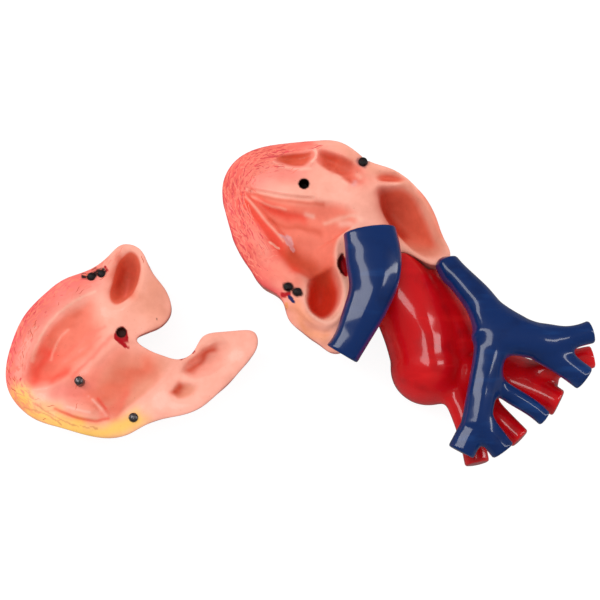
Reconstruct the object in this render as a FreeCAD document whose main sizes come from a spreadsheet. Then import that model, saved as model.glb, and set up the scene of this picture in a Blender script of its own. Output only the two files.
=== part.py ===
import FreeCAD, Part
import os

# A two-part human heart model for teaching, life size, laid open on a table.
# The back half carries the great vessels, the front half is the cover that lifts off,
# and both lie with their section faces up.  Lengths are millimetres, the table is Z = 0.

Vector = FreeCAD.Vector

# ---------------------------------------------------------------- driving dimensions

SIZES = {
    # castings
    "back_height": 38.0,
    "front_height": 28.0,
    # depths of the chambers below the section faces
    "left_ventricle_depth": 10.5,
    "left_atrium_depth": 20.0,
    "right_ventricle_depth": 7.6,
    "infundibulum_depth": 4.4,
    "right_atrium_depth": 20.0,
    "atrial_recess_depth": 4.6,
    "cover_ventricle_depth": 9.5,
    "cover_left_auricle_depth": 14.5,
    "cover_right_auricle_depth": 8.5,
    "cover_right_atrium_depth": 5.8,
    "cover_groove_depth": 6.0,
    # how the cover's layout follows from the back's: half a turn about a line, and a slide along it
    "turn_line_angle": -6.2,
    "turn_line_across": -54.0,
    "turn_line_along": 9.5,
    "lay_apart": 100.0,
    # steel locating pin and its blind socket
    "pin_diameter": 4.6,
    "pin_stand_out": 6.0,
    "pin_seat_depth": 7.0,
    "pin_clearance": 0.6,
    "socket_end_clearance": 1.5,
    # holding magnets
    "magnet_diameter": 4.2,
    "magnet_length": 5.0,
    "margin_magnet_diameter": 4.8,
    # valve openings
    "valve_opening_diameter": 4.6,
    "valve_opening_depth": 5.0,
    "cover_valve_x": -90.0,
    "cover_valve_y": -16.0,
    # places of the fixings on the back half's section face
    "pin_x": 2.0,
    "pin_y": 59.5,
    "margin_magnet_x": 32.0,
    "margin_magnet_y": 71.0,
    "side_magnet_x": -6.0,
    "side_magnet_y": 6.0,
    "side_magnet_spacing": 5.4,
    "side_magnet_row_angle": -29.0,
    # points that place the lines that the outlines shrink towards, down to the rest faces
    "back_rest_x": 18.0,
    "back_rest_y": 32.0,
    "cover_rest_x": -101.0,
    "cover_rest_y": -27.0,
    # aortic bulge and arch
    "aortic_bulge_radius": 18.5,
    "aortic_bulge_x": 64.5,
    "aortic_bulge_y": -32.0,
    "aortic_arch_radius": 15.5,
    "aortic_arch_x": 84.0,
    "aortic_arch_y": -36.0,
}

# ---------------------------------------------------------------- outlines at the section faces

BACK_OUTLINE = (
    (-39.5, 54), (-37.8, 65.5), (-31, 74.3), (-19, 79.8), (-5, 82), (8, 83.2), (20, 82.6), (28, 78),
    (35, 72.5), (43, 69.5), (51, 66), (58.5, 59.5), (65, 51), (69.5, 41), (73, 31), (75.5, 21.5),
    (69, 17.5), (60, 20.5), (50, 24), (45, 14), (41, 2), (35, -11), (27, -22), (18.5, -27),
    (9, -22.5), (0, -15.5), (-6, -8.5), (-10, 1), (-18, 6.5), (-25, 15), (-31, 25), (-36, 38),
)
FRONT_OUTLINE = (
    (-88, 31), (-80, 26.5), (-76.5, 19), (-71, 11), (-65.5, 2.5), (-65.5, -5.5), (-69.5, -11.5),
    (-78, -15.5), (-82, -18.5), (-77, -23), (-68.5, -26.5), (-60.5, -28.5), (-53.5, -24.5),
    (-49, -17), (-39, -14.5), (-30, -13.7), (-22.5, -15), (-21, -20), (-25, -28.5), (-32, -37),
    (-41, -46), (-50, -53.5), (-59, -57), (-69, -59), (-77, -62), (-85, -66.5), (-95, -68.5),
    (-106, -67), (-120, -63), (-131, -59.5), (-140, -53), (-146, -44), (-147.5, -33), (-145, -20),
    (-139.2, -6), (-129.7, 4.8), (-119.5, 12.8), (-108.3, 17), (-101.3, 21.3), (-96, 26.5),
)
# The lines that the outlines shrink towards, counted from each half's rest point.
BACK_SPINE = ((0, 0),)
FRONT_SPINE = ((14, 47), (25, 36), (9, 28), (0, 13), (-11, -6), (16, -18), (41, -11), (61, 0))
# chamber name: (sheet name of its depth, place of its deepest point, fullness of its bowl, rim)
BACK_CHAMBERS = {
    "left_ventricle": ("left_ventricle_depth", (4.6, 25.5), 1.8, (
        (-28.9, 57), (-24.4, 56.5), (-18.4, 55.5), (-10.4, 54.1), (-0.4, 52.7), (10.1, 52.3), (18.6, 52),
        (23.6, 50.7), (27.6, 48.5), (30.6, 45), (30.6, 40.5), (26.6, 37), (22.1, 33.5), (19.4, 28.5),
        (18.4, 22.5), (18.6, 16.5), (14.6, 9.5), (8.6, 7.5), (2.6, 10), (-1.4, 12.5), (-6.4, 15.7),
        (-8.9, 19.5), (-12.4, 25), (-16.4, 30), (-20.4, 36), (-24.4, 42.5), (-27.9, 49.5))),
    "left_atrium": ("left_atrium_depth", (9.6, 2), 2.2, (
        (3.8, 9.5), (3, 3.5), (2.6, -1), (4.6, -6.5), (9.1, -10.2), (12.6, -11), (17.1, -8.2),
        (20.6, -2), (21.6, 5.5), (20.3, 11), (18.4, 16), (16.1, 18.5), (11.6, 17.5), (7.1, 15))),
    "infundibulum": ("infundibulum_depth", (-2.4, 73.3), 2.2, (
        (-14.9, 72.8), (-12.9, 74.3), (-9.9, 74.9), (-5.4, 75.5), (-0.4, 76.1), (4.6, 76.7),
        (8.2, 77.2), (9, 75), (7.8, 72), (4, 68.9), (-0.4, 68), (-5.4, 68.5), (-10.9, 70.3),
        (-13.9, 71.5))),
    "right_ventricle": ("right_ventricle_depth", (15.1, 73.5), 1.5, (
        (7.6, 77.9), (14.6, 77.3), (20.1, 75.5), (25.1, 73.2), (28.6, 70.9), (32.1, 67.5), (34.1, 64),
        (34.1, 59), (30.6, 56.3), (27.1, 57.5), (23.1, 60.3), (18.6, 62.3), (14.6, 65), (10.1, 67.5),
        (7, 71), (6.6, 74.5))),
    "right_atrium": ("right_atrium_depth", (48.1, 48), 1.8, (
        (40.1, 57.5), (39.6, 53), (40.6, 46.5), (44.1, 39.5), (50.1, 31.5), (54.1, 27), (60.1, 22.3),
        (66.1, 20.1), (71.1, 20.5), (72.6, 24), (70.6, 30), (68.1, 36.5), (65.1, 43.5), (62.1, 50.5),
        (57.6, 57), (51.6, 60.1), (45.6, 59.5))),
    "atrial_recess": ("atrial_recess_depth", (45.6, 63.3), 2.0, (
        (36.6, 64.5), (40.6, 66.3), (45.6, 66.5), (51.1, 65.5), (56.1, 62), (54.6, 57.5), (47.6, 58),
        (41.6, 59), (38.1, 60))),
}
FRONT_CHAMBERS = {
    "cover_ventricle": ("cover_ventricle_depth", (-126.4, -24.5), 1.6, (
        (-101.4, 5.5), (-105.9, 3.7), (-110.4, 1.1), (-114.9, -1.5), (-119.4, -5), (-122.9, -8.5),
        (-126.1, -12.5), (-129.2, -16.5), (-132.2, -21.5), (-134.7, -26), (-136.4, -30.5),
        (-137.4, -36), (-137.2, -41), (-133.4, -44), (-126.4, -44), (-119.4, -41.5), (-112.4, -37),
        (-105.4, -31), (-98.9, -25), (-95.4, -19), (-95.9, -12), (-98.4, -5.5), (-98.9, 0.5))),
    "cover_left_auricle": ("cover_left_auricle_depth", (-90.2, 16), 2.0, (
        (-96.4, 1.5), (-96.7, 5), (-95.4, 10), (-93.8, 17), (-91.9, 22.5), (-88.4, 26.5), (-85.4, 27.5),
        (-82.2, 25), (-80.4, 19.5), (-80.7, 14.5), (-82.2, 8.5), (-84.8, 3.5), (-89.4, -0.5),
        (-92.9, -1.9), (-95.2, -0.9))),
    "cover_right_auricle": ("cover_right_auricle_depth", (-50.4, -29.1), 1.8, (
        (-59.9, -36), (-58.4, -32.5), (-53.4, -27.5), (-46.9, -22.5), (-40.4, -19.3), (-34.9, -20),
        (-32.9, -23.5), (-34.9, -29), (-39.9, -34.5), (-46.4, -38.1), (-53.4, -39.1))),
    "cover_right_atrium": ("cover_right_atrium_depth", (-60.4, -44.8), 1.8, (
        (-63.6, -44.5), (-62.4, -41.5), (-56.4, -40.5), (-50.9, -41.5), (-49.6, -44.5), (-53.9, -47.9),
        (-59.9, -49.5), (-62.9, -47.5))),
    "cover_groove": ("cover_groove_depth", (-90.4, -50), 1.25, (
        (-96.9, -57.5), (-101.4, -50.5), (-104.4, -42.5), (-102.4, -34), (-96.9, -26), (-88.4, -20),
        (-79.4, -19), (-68.4, -18.5), (-58.9, -24), (-60.9, -30.5), (-64.9, -36.5), (-69.9, -42),
        (-75.9, -47.5), (-82.4, -52.5), (-87.9, -57), (-92.4, -60))),
}
# (share of the casting's height, share of the outline) from the rest face up
BACK_UNDERSIDE = ((0.0, 0.46), (0.08, 0.66), (0.22, 0.81), (0.48, 0.94), (0.76, 0.99), (1.0, 1.0))
FRONT_UNDERSIDE = ((0.0, 0.46), (0.08, 0.6), (0.22, 0.74), (0.48, 0.88), (0.76, 0.965), (1.0, 1.0))
# shares of a chamber's rim, drawn in towards its deepest point, from the section face down
BOWL_SHARES = (1.0, 0.85, 0.65, 0.4, 0.15)

# ---------------------------------------------------------------- vessels
# Each tube is a list of stations along its middle line: (x, y, z, width, height).  The height z
# is counted from the back half's section face, and for the stubs of the underside from the table.

TUBES = {
    "pulmonary_trunk": (
        (34.5, 33, 7.5, 26.5, 16.5), (36, 22.5, 8, 27.5, 17.5), (36.5, 11.5, 8, 26.5, 17.5),
        (35, 1, 7.5, 22.5, 17), (31, -9, 6.5, 20, 16), (26.5, -18.5, 5, 17.5, 15.5), (20.5, -28.5, 3, 17.5, 15)),
    "ascending_aorta": (
        (43.5, 20, -13, 29, 28), (51.5, 6.5, -14, 35, 33), (59, -8, -17, 37, 36), (64, -26, -19, 36, 36)),
    "aortic_flank": (
        (63, 15, -18, 14, 22), (71.5, 3, -18.5, 18, 25), (79, -11, -20, 20, 28), (84, -26, -21, 22, 28)),
    "brachiocephalic_artery": (
        (88, -34, -20, 14, 13), (100, -38.5, -14, 14, 13),
        (114, -44, -10, 14, 13), (128, -51.5, -8, 13.5, 13)),
    "right_subclavian_artery": (
        (106, -39, -13, 11, 11), (121, -35, -9.5, 11, 11),
        (134, -31, -7, 11, 11), (145.5, -28.5, -6, 11, 11)),
    "left_carotid_artery": (
        (86, -41, -19, 12, 12), (93, -51.5, -13.5, 11.5, 11.5),
        (101, -61, -10, 11, 11), (108.5, -69, -8.5, 11, 11)),
    "left_subclavian_artery": (
        (73.5, -38, -17, 13, 13), (79.5, -51, -12.5, 12.5, 12.5),
        (84, -66, -9.5, 12, 12), (87, -81.18, -8.5, 12, 12)),
    "caval_trunk": (
        (74.2, 19.1, -2.2, 10.5, 10), (78, 12, 0, 12.5, 12.5), (85.5, 2, 3.5, 15, 14), (91.5, -8, 6, 17.5, 16),
        (94, -19, 8, 19.5, 17.5)),
    "caval_web": (
        (88, -2.6, 5, 12, 12), (92.7, -6.8, 6, 13, 13), (99.2, -11.7, 7, 13, 14), (108, -16.5, 7.5, 13, 14)),
    "right_brachiocephalic": (
        (89, -14, 7, 16, 15), (102, -19, 8, 18.5, 17), (115, -23, 8, 18, 16.5), (125, -26, 7.5, 14, 13.5)),
    "right_jugular": (
        (115, -20.8, 8, 14, 13.5), (127, -21.2, 8, 12.5, 12),
        (136, -20.2, 8, 11, 11), (142.5, -18.3, 8, 11.6, 11.4)),
    "right_subclavian": (
        (117, -26.5, 7, 14, 13), (128, -33, 5.5, 13, 12), (139, -41, 4, 12.5, 11.5)),
    "left_brachiocephalic": (
        (93.5, -17, 8, 17, 16), (92, -30, 8.5, 15.5, 15), (89, -43, 9, 14, 14), (86.5, -55, 8.5, 14, 14),
        (85, -65, 8, 15, 14)),
    "left_jugular": (
        (86, -60, 8, 12.5, 12.5), (82, -68.5, 7, 13, 13), (77.5, -77, 6, 13.5, 13.5)),
    "left_subclavian": (
        (86.5, -60.5, 8, 12, 12), (92, -68.5, 7, 12, 12), (98, -76.5, 6, 12, 12)),
    "inferior_thyroid_vein": (
        (91.5, -37, 5, 9, 9), (99, -46, 3.5, 9, 9), (109, -52.3, 2, 8.5, 8.5), (119.5, -60.2, 0.5, 8, 8)),
}
UNDERSIDE_TUBES = {
    "inferior_vena_cava": ((44, 50, 16, 14, 14), (48, 58.5, 11, 14, 14), (51.5, 66, 9, 14, 14)),
    "left_upper_pulmonary_vein": ((14, 4, 15, 9, 9), (7, -1, 10, 9, 9), (0.5, -6.5, 8, 9, 9)),
    "left_lower_pulmonary_vein": ((15, 0, 15, 9, 9), (12.5, -7.5, 10, 9, 9), (10.5, -15.5, 8, 9, 9)),
    "right_upper_pulmonary_vein": ((18, 0, 15, 9, 9), (19.5, -10, 10, 9, 9), (21, -19.5, 8, 9, 9)),
    "right_lower_pulmonary_vein": ((19, 4, 15, 9, 9), (25.5, -4, 10, 9, 9), (31, -11.5, 8, 9, 9)),
}

OVERLAP = 0.5   # cutters stand this far proud of the face that they cut

doc = FreeCAD.newDocument("heart_model")
sheet = doc.addObject("Spreadsheet::Sheet", "Sizes")


def write_sizes(sizes):
    """Put every driving dimension in the sheet, one aliased row each."""
    for row, (name, value) in enumerate(sizes.items(), start=1):
        sheet.set(f"A{row}", name)
        sheet.set(f"B{row}", str(value))
        sheet.setAlias(f"B{row}", name)
    doc.recompute()


def size(name):
    """Read one driving dimension back from the sheet."""
    return float(sheet.get(name))


def tube_sizes():
    """Name every station's place and size for the sheet."""
    named = {}
    for tube, stations in {**TUBES, **UNDERSIDE_TUBES}.items():
        for number, station in enumerate(stations, start=1):
            for key, value in zip(("x", "y", "z", "width", "height"), station):
                named[f"{tube}_{number}_{key}"] = value
    return named


# ---------------------------------------------------------------- building blocks

def nearest_on(spine, point):
    """The point of a spine's line that is nearest to a point."""
    nearest = spine[0]
    for start, end in zip(spine, spine[1:]):
        step = end - start
        share = (point - start).dot(step) / step.dot(step)
        candidate = start + step * min(max(share, 0.0), 1.0)
        if point.distanceToPoint(candidate) < point.distanceToPoint(nearest):
            nearest = candidate
    return nearest


def closed_curve(name, points, spine, share, height):
    """A smooth closed wire through the points, shrunk towards the spine and bound to a height.

    Every share of one outline is cut at the same knots, so that lofts through them run straight down.
    """
    outline = [Vector(x, y, 0) for x, y in points]
    knots = [0.0]
    for before, after in zip(outline, outline[1:] + outline[:1]):
        knots.append(knots[-1] + before.distanceToPoint(after))
    placed = []
    for point in outline:
        target = nearest_on(spine, point)
        placed.append(target + (point - target) * share)
    curve = Part.BSplineCurve()
    curve.interpolate(Points=placed, PeriodicFlag=True, Parameters=knots)
    wire = doc.addObject("Part::Feature", name)
    wire.Shape = Part.Wire(curve.toShape())
    wire.setExpression("Placement.Base.z", height)
    return wire


def loft(name, sections):
    """A smooth solid through closed sections."""
    solid = doc.addObject("Part::Loft", name)
    solid.Sections = sections
    solid.Solid = True
    solid.Ruled = False
    return solid


def fuse(name, pieces):
    """One solid from several that overlap."""
    solid = doc.addObject("Part::MultiFuse", name)
    solid.Shapes = pieces
    solid.Refine = False
    return solid


def cut(name, base, tools):
    """The base with every tool's space taken out of it."""
    solid = base
    for number, tool in enumerate(tools, start=1):
        last = number == len(tools)
        step = doc.addObject("Part::Cut", name if last else f"{name}_cut_{number}")
        step.Base = solid
        step.Tool = tool
        step.Refine = False
        solid = step
    return solid


def cylinder(name, spot, radius, height, foot):
    """An upright cylinder whose sizes are expressions over the sheet."""
    solid = doc.addObject("Part::Cylinder", name)
    solid.setExpression("Radius", radius)
    solid.setExpression("Height", height)
    solid.Placement = FreeCAD.Placement(spot, FreeCAD.Rotation())
    solid.setExpression("Placement.Base.z", foot)
    return solid


def sphere(name, spot, radius):
    """A ball that stands on the table."""
    solid = doc.addObject("Part::Sphere", name)
    solid.setExpression("Radius", radius)
    solid.Placement = FreeCAD.Placement(spot, FreeCAD.Rotation())
    solid.setExpression("Placement.Base.z", radius)
    return solid


def casting_body(name, outline, spine, underside, height):
    """The outer form of one half: its section outline drawn in towards a flat rest face."""
    sections = []
    for number, (rise, share) in enumerate(underside, start=1):
        sections.append(closed_curve(f"{name}_level_{number}", outline, spine, share, f"{rise} * {height}"))
    return loft(name, sections)


def spine_from(rest, offsets):
    """A spine's points, counted from a rest point."""
    return [rest + Vector(x, y, 0) for x, y in offsets]


def chamber(name, depth, deepest, fullness, rim, height):
    """A chamber's bowl, opening upwards through the section face.

    Its floor falls from the rim by the depth times one less the share of the rim to the fullness.
    """
    middle = [Vector(*deepest, 0)]
    above = (1 + OVERLAP / size(depth)) ** (1 / fullness)
    sections = [closed_curve(f"{name}_mouth", rim, middle, above, f"{height} + {OVERLAP}")]
    for number, share in enumerate(BOWL_SHARES, start=1):
        fall = 1 - share ** fullness
        sections.append(closed_curve(f"{name}_level_{number}", rim, middle, share,
                                     f"{height} - {fall} * Sizes.{depth}"))
    return loft(name, sections)


def station_value(tube, number, key):
    return size(f"{tube}_{number}_{key}")


def tube(name):
    """A vessel's tube: oval sections square to its middle line, with flat cut ends."""
    underside = name in UNDERSIDE_TUBES
    count = len(UNDERSIDE_TUBES[name] if underside else TUBES[name])
    datum = "" if underside else "Sizes.back_height + "
    line = [Vector(*(station_value(name, number, key) for key in "xyz")) for number in range(1, count + 1)]
    sections = []
    for number in range(1, count + 1):
        before = line[max(number - 2, 0)]
        after = line[min(number, count - 1)]
        along = (after - before).normalize()
        level = Vector(along.y, -along.x, 0).normalize()
        upright = along.cross(level)
        long_axis, short_axis, major, minor = level, upright, "width", "height"
        if station_value(name, number, "height") > station_value(name, number, "width"):
            long_axis, short_axis, major, minor = upright, level * -1, "height", "width"
        section = doc.addObject("Part::Ellipse", f"{name}_section_{number}")
        section.setExpression("MajorRadius", f"Sizes.{name}_{number}_{major} / 2")
        section.setExpression("MinorRadius", f"Sizes.{name}_{number}_{minor} / 2")
        section.Placement = FreeCAD.Placement(line[number - 1],
                                              FreeCAD.Rotation(long_axis, short_axis, along, "ZXY"))
        section.setExpression("Placement.Base.x", f"Sizes.{name}_{number}_x")
        section.setExpression("Placement.Base.y", f"Sizes.{name}_{number}_y")
        section.setExpression("Placement.Base.z", f"{datum}Sizes.{name}_{number}_z")
        sections.append(section)
    return loft(f"{name}_tube", sections)


def place(name):
    """A named place on the table plane."""
    return Vector(size(f"{name}_x"), size(f"{name}_y"), 0)


def side_magnet_places():
    """The pair of magnets on the left margin, in a short row."""
    row = FreeCAD.Rotation(Vector(0, 0, 1), size("side_magnet_row_angle")).multVec(Vector(1, 0, 0))
    first = place("side_magnet")
    return first, first + row * size("side_magnet_spacing")


def on_cover(point):
    """Where a place on the back half's section face meets the cover as it lies beside it."""
    turn = FreeCAD.Rotation(Vector(0, 0, 1), size("turn_line_angle"))
    along = turn.multVec(Vector(1, 0, 0))
    across = turn.multVec(Vector(0, 1, 0))
    start = Vector(size("turn_line_across"), size("turn_line_along"), 0)
    offset = point - start
    return start + along * (offset.dot(along) - size("lay_apart")) - across * offset.dot(across)


# ---------------------------------------------------------------- the back half

write_sizes({**SIZES, **tube_sizes()})
BACK_FACE = "Sizes.back_height"
FRONT_FACE = "Sizes.front_height"

parts = []


def finish_part(solid, label):
    """Give a finished sub-part its own label and keep it for export."""
    solid.Label = label
    parts.append(solid)
    return solid


def magnet_seat(name, spot, diameter, face):
    """A magnet's space, from its bottom to the section face."""
    return cylinder(name, spot, f"{diameter} / 2", "Sizes.magnet_length", f"{face} - Sizes.magnet_length")


def magnet_cutter(name, spot, diameter, face):
    """The drilled seat that a magnet fills."""
    return cylinder(name, spot, f"{diameter} / 2", f"Sizes.magnet_length + {OVERLAP}",
                    f"{face} - Sizes.magnet_length")


def back_half():
    """The back casting with its chambers, pin socket and magnet seats, and its form before they are cut."""
    spine = spine_from(place("back_rest"), BACK_SPINE)
    body = casting_body("back_form", BACK_OUTLINE, spine, BACK_UNDERSIDE, BACK_FACE)
    tools = [chamber(name, *form, BACK_FACE) for name, form in BACK_CHAMBERS.items()]
    tools.append(cylinder("pin_socket", place("pin"), "Sizes.pin_diameter / 2 + Sizes.pin_clearance / 2",
                          f"Sizes.pin_stand_out + Sizes.socket_end_clearance + {OVERLAP}",
                          f"{BACK_FACE} - Sizes.pin_stand_out - Sizes.socket_end_clearance"))
    tools.append(magnet_cutter("back_margin_seat", place("margin_magnet"),
                               "Sizes.margin_magnet_diameter", BACK_FACE))
    for number, spot in enumerate(side_magnet_places(), start=1):
        tools.append(magnet_cutter(f"back_side_seat_{number}", spot, "Sizes.magnet_diameter", BACK_FACE))
    finish_part(cut("back_casting", body, tools), "back_casting")
    return body


def front_half():
    """The cover's casting with its chambers, pin seat and magnet seats."""
    spine = spine_from(place("cover_rest"), FRONT_SPINE)
    body = casting_body("front_form", FRONT_OUTLINE, spine, FRONT_UNDERSIDE, FRONT_FACE)
    tools = [chamber(name, *form, FRONT_FACE) for name, form in FRONT_CHAMBERS.items()]
    tools.append(cylinder("pin_seat", on_cover(place("pin")), "Sizes.pin_diameter / 2",
                          f"Sizes.pin_seat_depth + {OVERLAP}", f"{FRONT_FACE} - Sizes.pin_seat_depth"))
    tools.append(cylinder("front_valve", place("cover_valve"), "Sizes.valve_opening_diameter / 2",
                          f"Sizes.valve_opening_depth + {OVERLAP}",
                          f"{FRONT_FACE} - Sizes.valve_opening_depth"))
    tools.append(magnet_cutter("front_margin_seat", on_cover(place("margin_magnet")),
                               "Sizes.margin_magnet_diameter", FRONT_FACE))
    for number, spot in enumerate(side_magnet_places(), start=1):
        tools.append(magnet_cutter(f"front_side_seat_{number}", on_cover(spot),
                                   "Sizes.magnet_diameter", FRONT_FACE))
    return finish_part(cut("front_casting", body, tools), "front_casting")


def pin_and_magnets():
    """The steel pin in the cover, and the magnets that face each other in the two halves."""
    finish_part(cylinder("pin", on_cover(place("pin")), "Sizes.pin_diameter / 2",
                         "Sizes.pin_seat_depth + Sizes.pin_stand_out",
                         f"{FRONT_FACE} - Sizes.pin_seat_depth"),
                "locating_pin")
    margin = "Sizes.margin_magnet_diameter"
    finish_part(magnet_seat("back_margin", place("margin_magnet"), margin, BACK_FACE), "back_margin_magnet")
    finish_part(magnet_seat("front_margin", on_cover(place("margin_magnet")), margin, FRONT_FACE),
                "front_margin_magnet")
    for half, face, placing in (("back", BACK_FACE, lambda spot: spot), ("front", FRONT_FACE, on_cover)):
        pair = doc.addObject("Part::Compound", f"{half}_side_pair")
        pair.Links = [magnet_seat(f"{half}_side_{number}", placing(spot), "Sizes.magnet_diameter", face)
                      for number, spot in enumerate(side_magnet_places(), start=1)]
        finish_part(pair, f"{half}_side_magnets")


def vessels(casting):
    """The great vessels, each cut to sit against what carries it."""
    root = fuse("aorta_form", [tube("ascending_aorta"), tube("aortic_flank"),
                               sphere("aortic_bulge", place("aortic_bulge"), "Sizes.aortic_bulge_radius"),
                               sphere("aortic_arch", place("aortic_arch"), "Sizes.aortic_arch_radius")])
    finish_part(cut("aorta_piece", root, [casting]), "aorta")
    finish_part(cut("trunk", tube("pulmonary_trunk"), [casting, root]), "pulmonary_trunk")
    brachiocephalic = tube("brachiocephalic_artery")
    finish_part(cut("brachiocephalic", brachiocephalic, [root]), "brachiocephalic_artery")
    finish_part(cut("right_subclavian_piece", tube("right_subclavian_artery"), [brachiocephalic, root]),
                "right_subclavian_artery")
    carotid = tube("left_carotid_artery")
    finish_part(cut("left_carotid_piece", carotid, [root, brachiocephalic]), "left_carotid_artery")
    finish_part(cut("left_subclavian_piece", tube("left_subclavian_artery"), [root, carotid]),
                "left_subclavian_artery")
    caval = fuse("caval_form", [tube("caval_trunk"), tube("caval_web"), tube("right_brachiocephalic"),
                                tube("right_jugular"), tube("right_subclavian")])
    finish_part(cut("caval_piece", caval, [casting, root]), "superior_vena_cava")
    limb = fuse("left_limb_form", [tube("left_brachiocephalic"), tube("left_jugular"),
                                   tube("left_subclavian")])
    finish_part(cut("left_limb", limb, [caval, root]), "left_brachiocephalic_vein")
    finish_part(cut("thyroid_vein", tube("inferior_thyroid_vein"), [limb, caval, brachiocephalic]),
                "inferior_thyroid_vein")
    finish_part(cut("lower_cava", tube("inferior_vena_cava"), [casting]), "inferior_vena_cava")
    stubs = doc.addObject("Part::Compound", "pulmonary_vein_stubs")
    stubs.Links = [cut(f"{name}_stub", tube(name), [casting])
                   for name in UNDERSIDE_TUBES if name.endswith("pulmonary_vein")]
    finish_part(stubs, "pulmonary_veins")


def check_parts():
    """Stop before anything is written if an object failed or a shape is not a sound solid."""
    doc.recompute()
    for item in doc.Objects:
        if "Invalid" in item.State or "Error" in item.State:
            raise RuntimeError(f"{item.Name} did not build: {item.State}")
    for part in parts:
        if part.Shape.isNull() or not part.Shape.isValid() or not part.Shape.Solids:
            raise RuntimeError(f"{part.Label} is not a valid solid")


def centre_on_origin():
    """Move every sub-part together, so that the origin is under the middle of the whole."""
    whole = FreeCAD.BoundBox()
    for part in parts:
        whole.add(part.Shape.optimalBoundingBox(False))
    shift = Vector(-whole.Center.x, -whole.Center.y, 0)
    for part in parts:
        part.Placement.Base = part.Placement.Base + shift
    doc.recompute()
    print("origin moved by", [round(value, 2) for value in shift])
    print("whole", [round(value, 2) for value in (whole.XLength, whole.YLength, whole.ZMin, whole.ZMax)])


front_half()
pin_and_magnets()
vessels(back_half())
check_parts()
centre_on_origin()
os.makedirs("parts", exist_ok=True)
for part in parts:
    part.Shape.exportStep(f"parts/{part.Label}.step")
    print(f"{part.Label:28s} solids {len(part.Shape.Solids)}  volume {part.Shape.Volume / 1000:8.2f} cm3")
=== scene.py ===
"""Visual model of a life-size human heart teaching model that lies open on a table.

The back half carries the great vessels, and the cover lies beside it.  Both show their section
faces.  Sizes and places are millimetres in the frame's own axes (X from the cover towards the
vessels, Y towards the ventricles, Z up, the table at zero); names that end in _m are metres.
"""
import logging
import math
from dataclasses import dataclass, field
from enum import Enum
from typing import Iterable, Sequence

import bmesh
import bpy
import numpy as np
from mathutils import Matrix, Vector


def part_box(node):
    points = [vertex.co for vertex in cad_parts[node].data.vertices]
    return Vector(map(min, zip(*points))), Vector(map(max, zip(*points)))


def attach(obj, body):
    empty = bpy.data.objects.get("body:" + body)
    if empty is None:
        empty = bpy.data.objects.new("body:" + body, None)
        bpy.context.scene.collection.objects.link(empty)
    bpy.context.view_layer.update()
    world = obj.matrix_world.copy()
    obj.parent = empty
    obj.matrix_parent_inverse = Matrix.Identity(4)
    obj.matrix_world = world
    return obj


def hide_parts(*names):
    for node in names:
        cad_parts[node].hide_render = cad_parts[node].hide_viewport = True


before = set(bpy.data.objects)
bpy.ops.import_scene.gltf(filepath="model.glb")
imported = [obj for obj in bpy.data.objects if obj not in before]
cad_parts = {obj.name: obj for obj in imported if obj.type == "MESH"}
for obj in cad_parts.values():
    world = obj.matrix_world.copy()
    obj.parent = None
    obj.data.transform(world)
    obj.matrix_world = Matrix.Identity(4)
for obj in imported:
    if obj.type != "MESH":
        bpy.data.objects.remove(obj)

import openvdb
from mathutils import Vector

LOG = logging.getLogger("heart")
METRES = 0.001
FAR = 1e3
CLEARANCE = 0.05
WHITE = (1.0, 1.0, 1.0, 1.0)
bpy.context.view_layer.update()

Point = tuple[float, float]
Triple = tuple[float, float, float]
Line = tuple[Point, ...]
Colour = tuple[int, int, int]
Array = np.ndarray


class Body(Enum):
    """The bodies that pieces ride on."""

    BACK = "back_half"
    COVER = "front_half"


class Slot(Enum):
    """The material slots' names."""

    FLESH = "flesh_paint"
    BLUE = "vein_blue"
    RED = "artery_red"
    STEEL = "steel_pin"
    MAGNET = "magnet"


class Paint(Enum):
    """The colours laid on the model, in display values: its brushed paints and the tones of its painted
    highlights and painted shade.
    """

    PEACH = (249, 172, 152)
    SAND = (228, 148, 122)
    CREAM = (252, 188, 166)
    ROSE = (240, 106, 94)
    PINK = (246, 118, 110)
    HOT_PINK = (240, 92, 96)
    CORAL = (240, 78, 60)
    SALMON = (244, 130, 108)
    CLAY = (222, 98, 74)
    APRICOT = (228, 106, 80)
    BRICK_SHADE = (184, 56, 38)
    # Painted shade for a steep wall.
    OCHRE = (232, 146, 86)
    FAT = (250, 196, 104)
    TAN = (206, 128, 84)
    WALL_AND_SHADE = (206, 132, 122)
    # The outer walls' pink, greyed as painted shade.
    PLUM = (120, 60, 78)
    SCARLET = (176, 14, 26)
    MAROON = (84, 26, 28)
    NAVY = (24, 34, 84)
    INK = (16, 10, 12)
    BLUSH = (252, 130, 112)
    BERRY = (226, 82, 84)
    SIENNA = (208, 80, 52)
    EMBER = (224, 66, 42)
    TERRA = (228, 108, 82)
    # Painted shade for the inside of a hole.
    UMBER_SHADE = (84, 42, 36)
    # Painted sheen: a lilac tone laid where a lamp's reflection shows.
    PAINTED_SHEEN = (228, 168, 168)
    # Painted highlight: a pale tone laid where gloss catches the lamps.
    PAINTED_HIGHLIGHT = (255, 208, 190)


# ---------------------------------------------------------------- numbers and curves


def linear(colour: Paint | Colour) -> Triple:
    """Turn a paint, or a colour in display values from 0 to 255, into linear values by sRGB's curve."""
    shares = (value / 255 for value in (colour.value if isinstance(colour, Paint) else colour))
    return tuple(s / 12.92 if s <= 0.04045 else ((s + 0.055) / 1.055) ** 2.4 for s in shares)


def fade(value: Array, start: float, end: float) -> Array:
    """Rise smoothly from 0 at start to 1 at end (or fall, where end is below start)."""
    share = np.clip((value - start) / (end - start), 0.0, 1.0)
    return share * share * (3 - 2 * share)


def smooth_max(first: Array, second: Array, radius: float) -> Array:
    """The larger of two fields, with their crease rounded over a radius."""
    blend = np.clip(radius - np.abs(first - second), 0.0, None) / radius
    return np.maximum(first, second) + blend * blend * radius / 4


def smooth_min(first: Array, second: Array, radius: float) -> Array:
    """The smaller of two fields, with their crease rounded over a radius."""
    return -smooth_max(-first, -second, radius)


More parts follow.
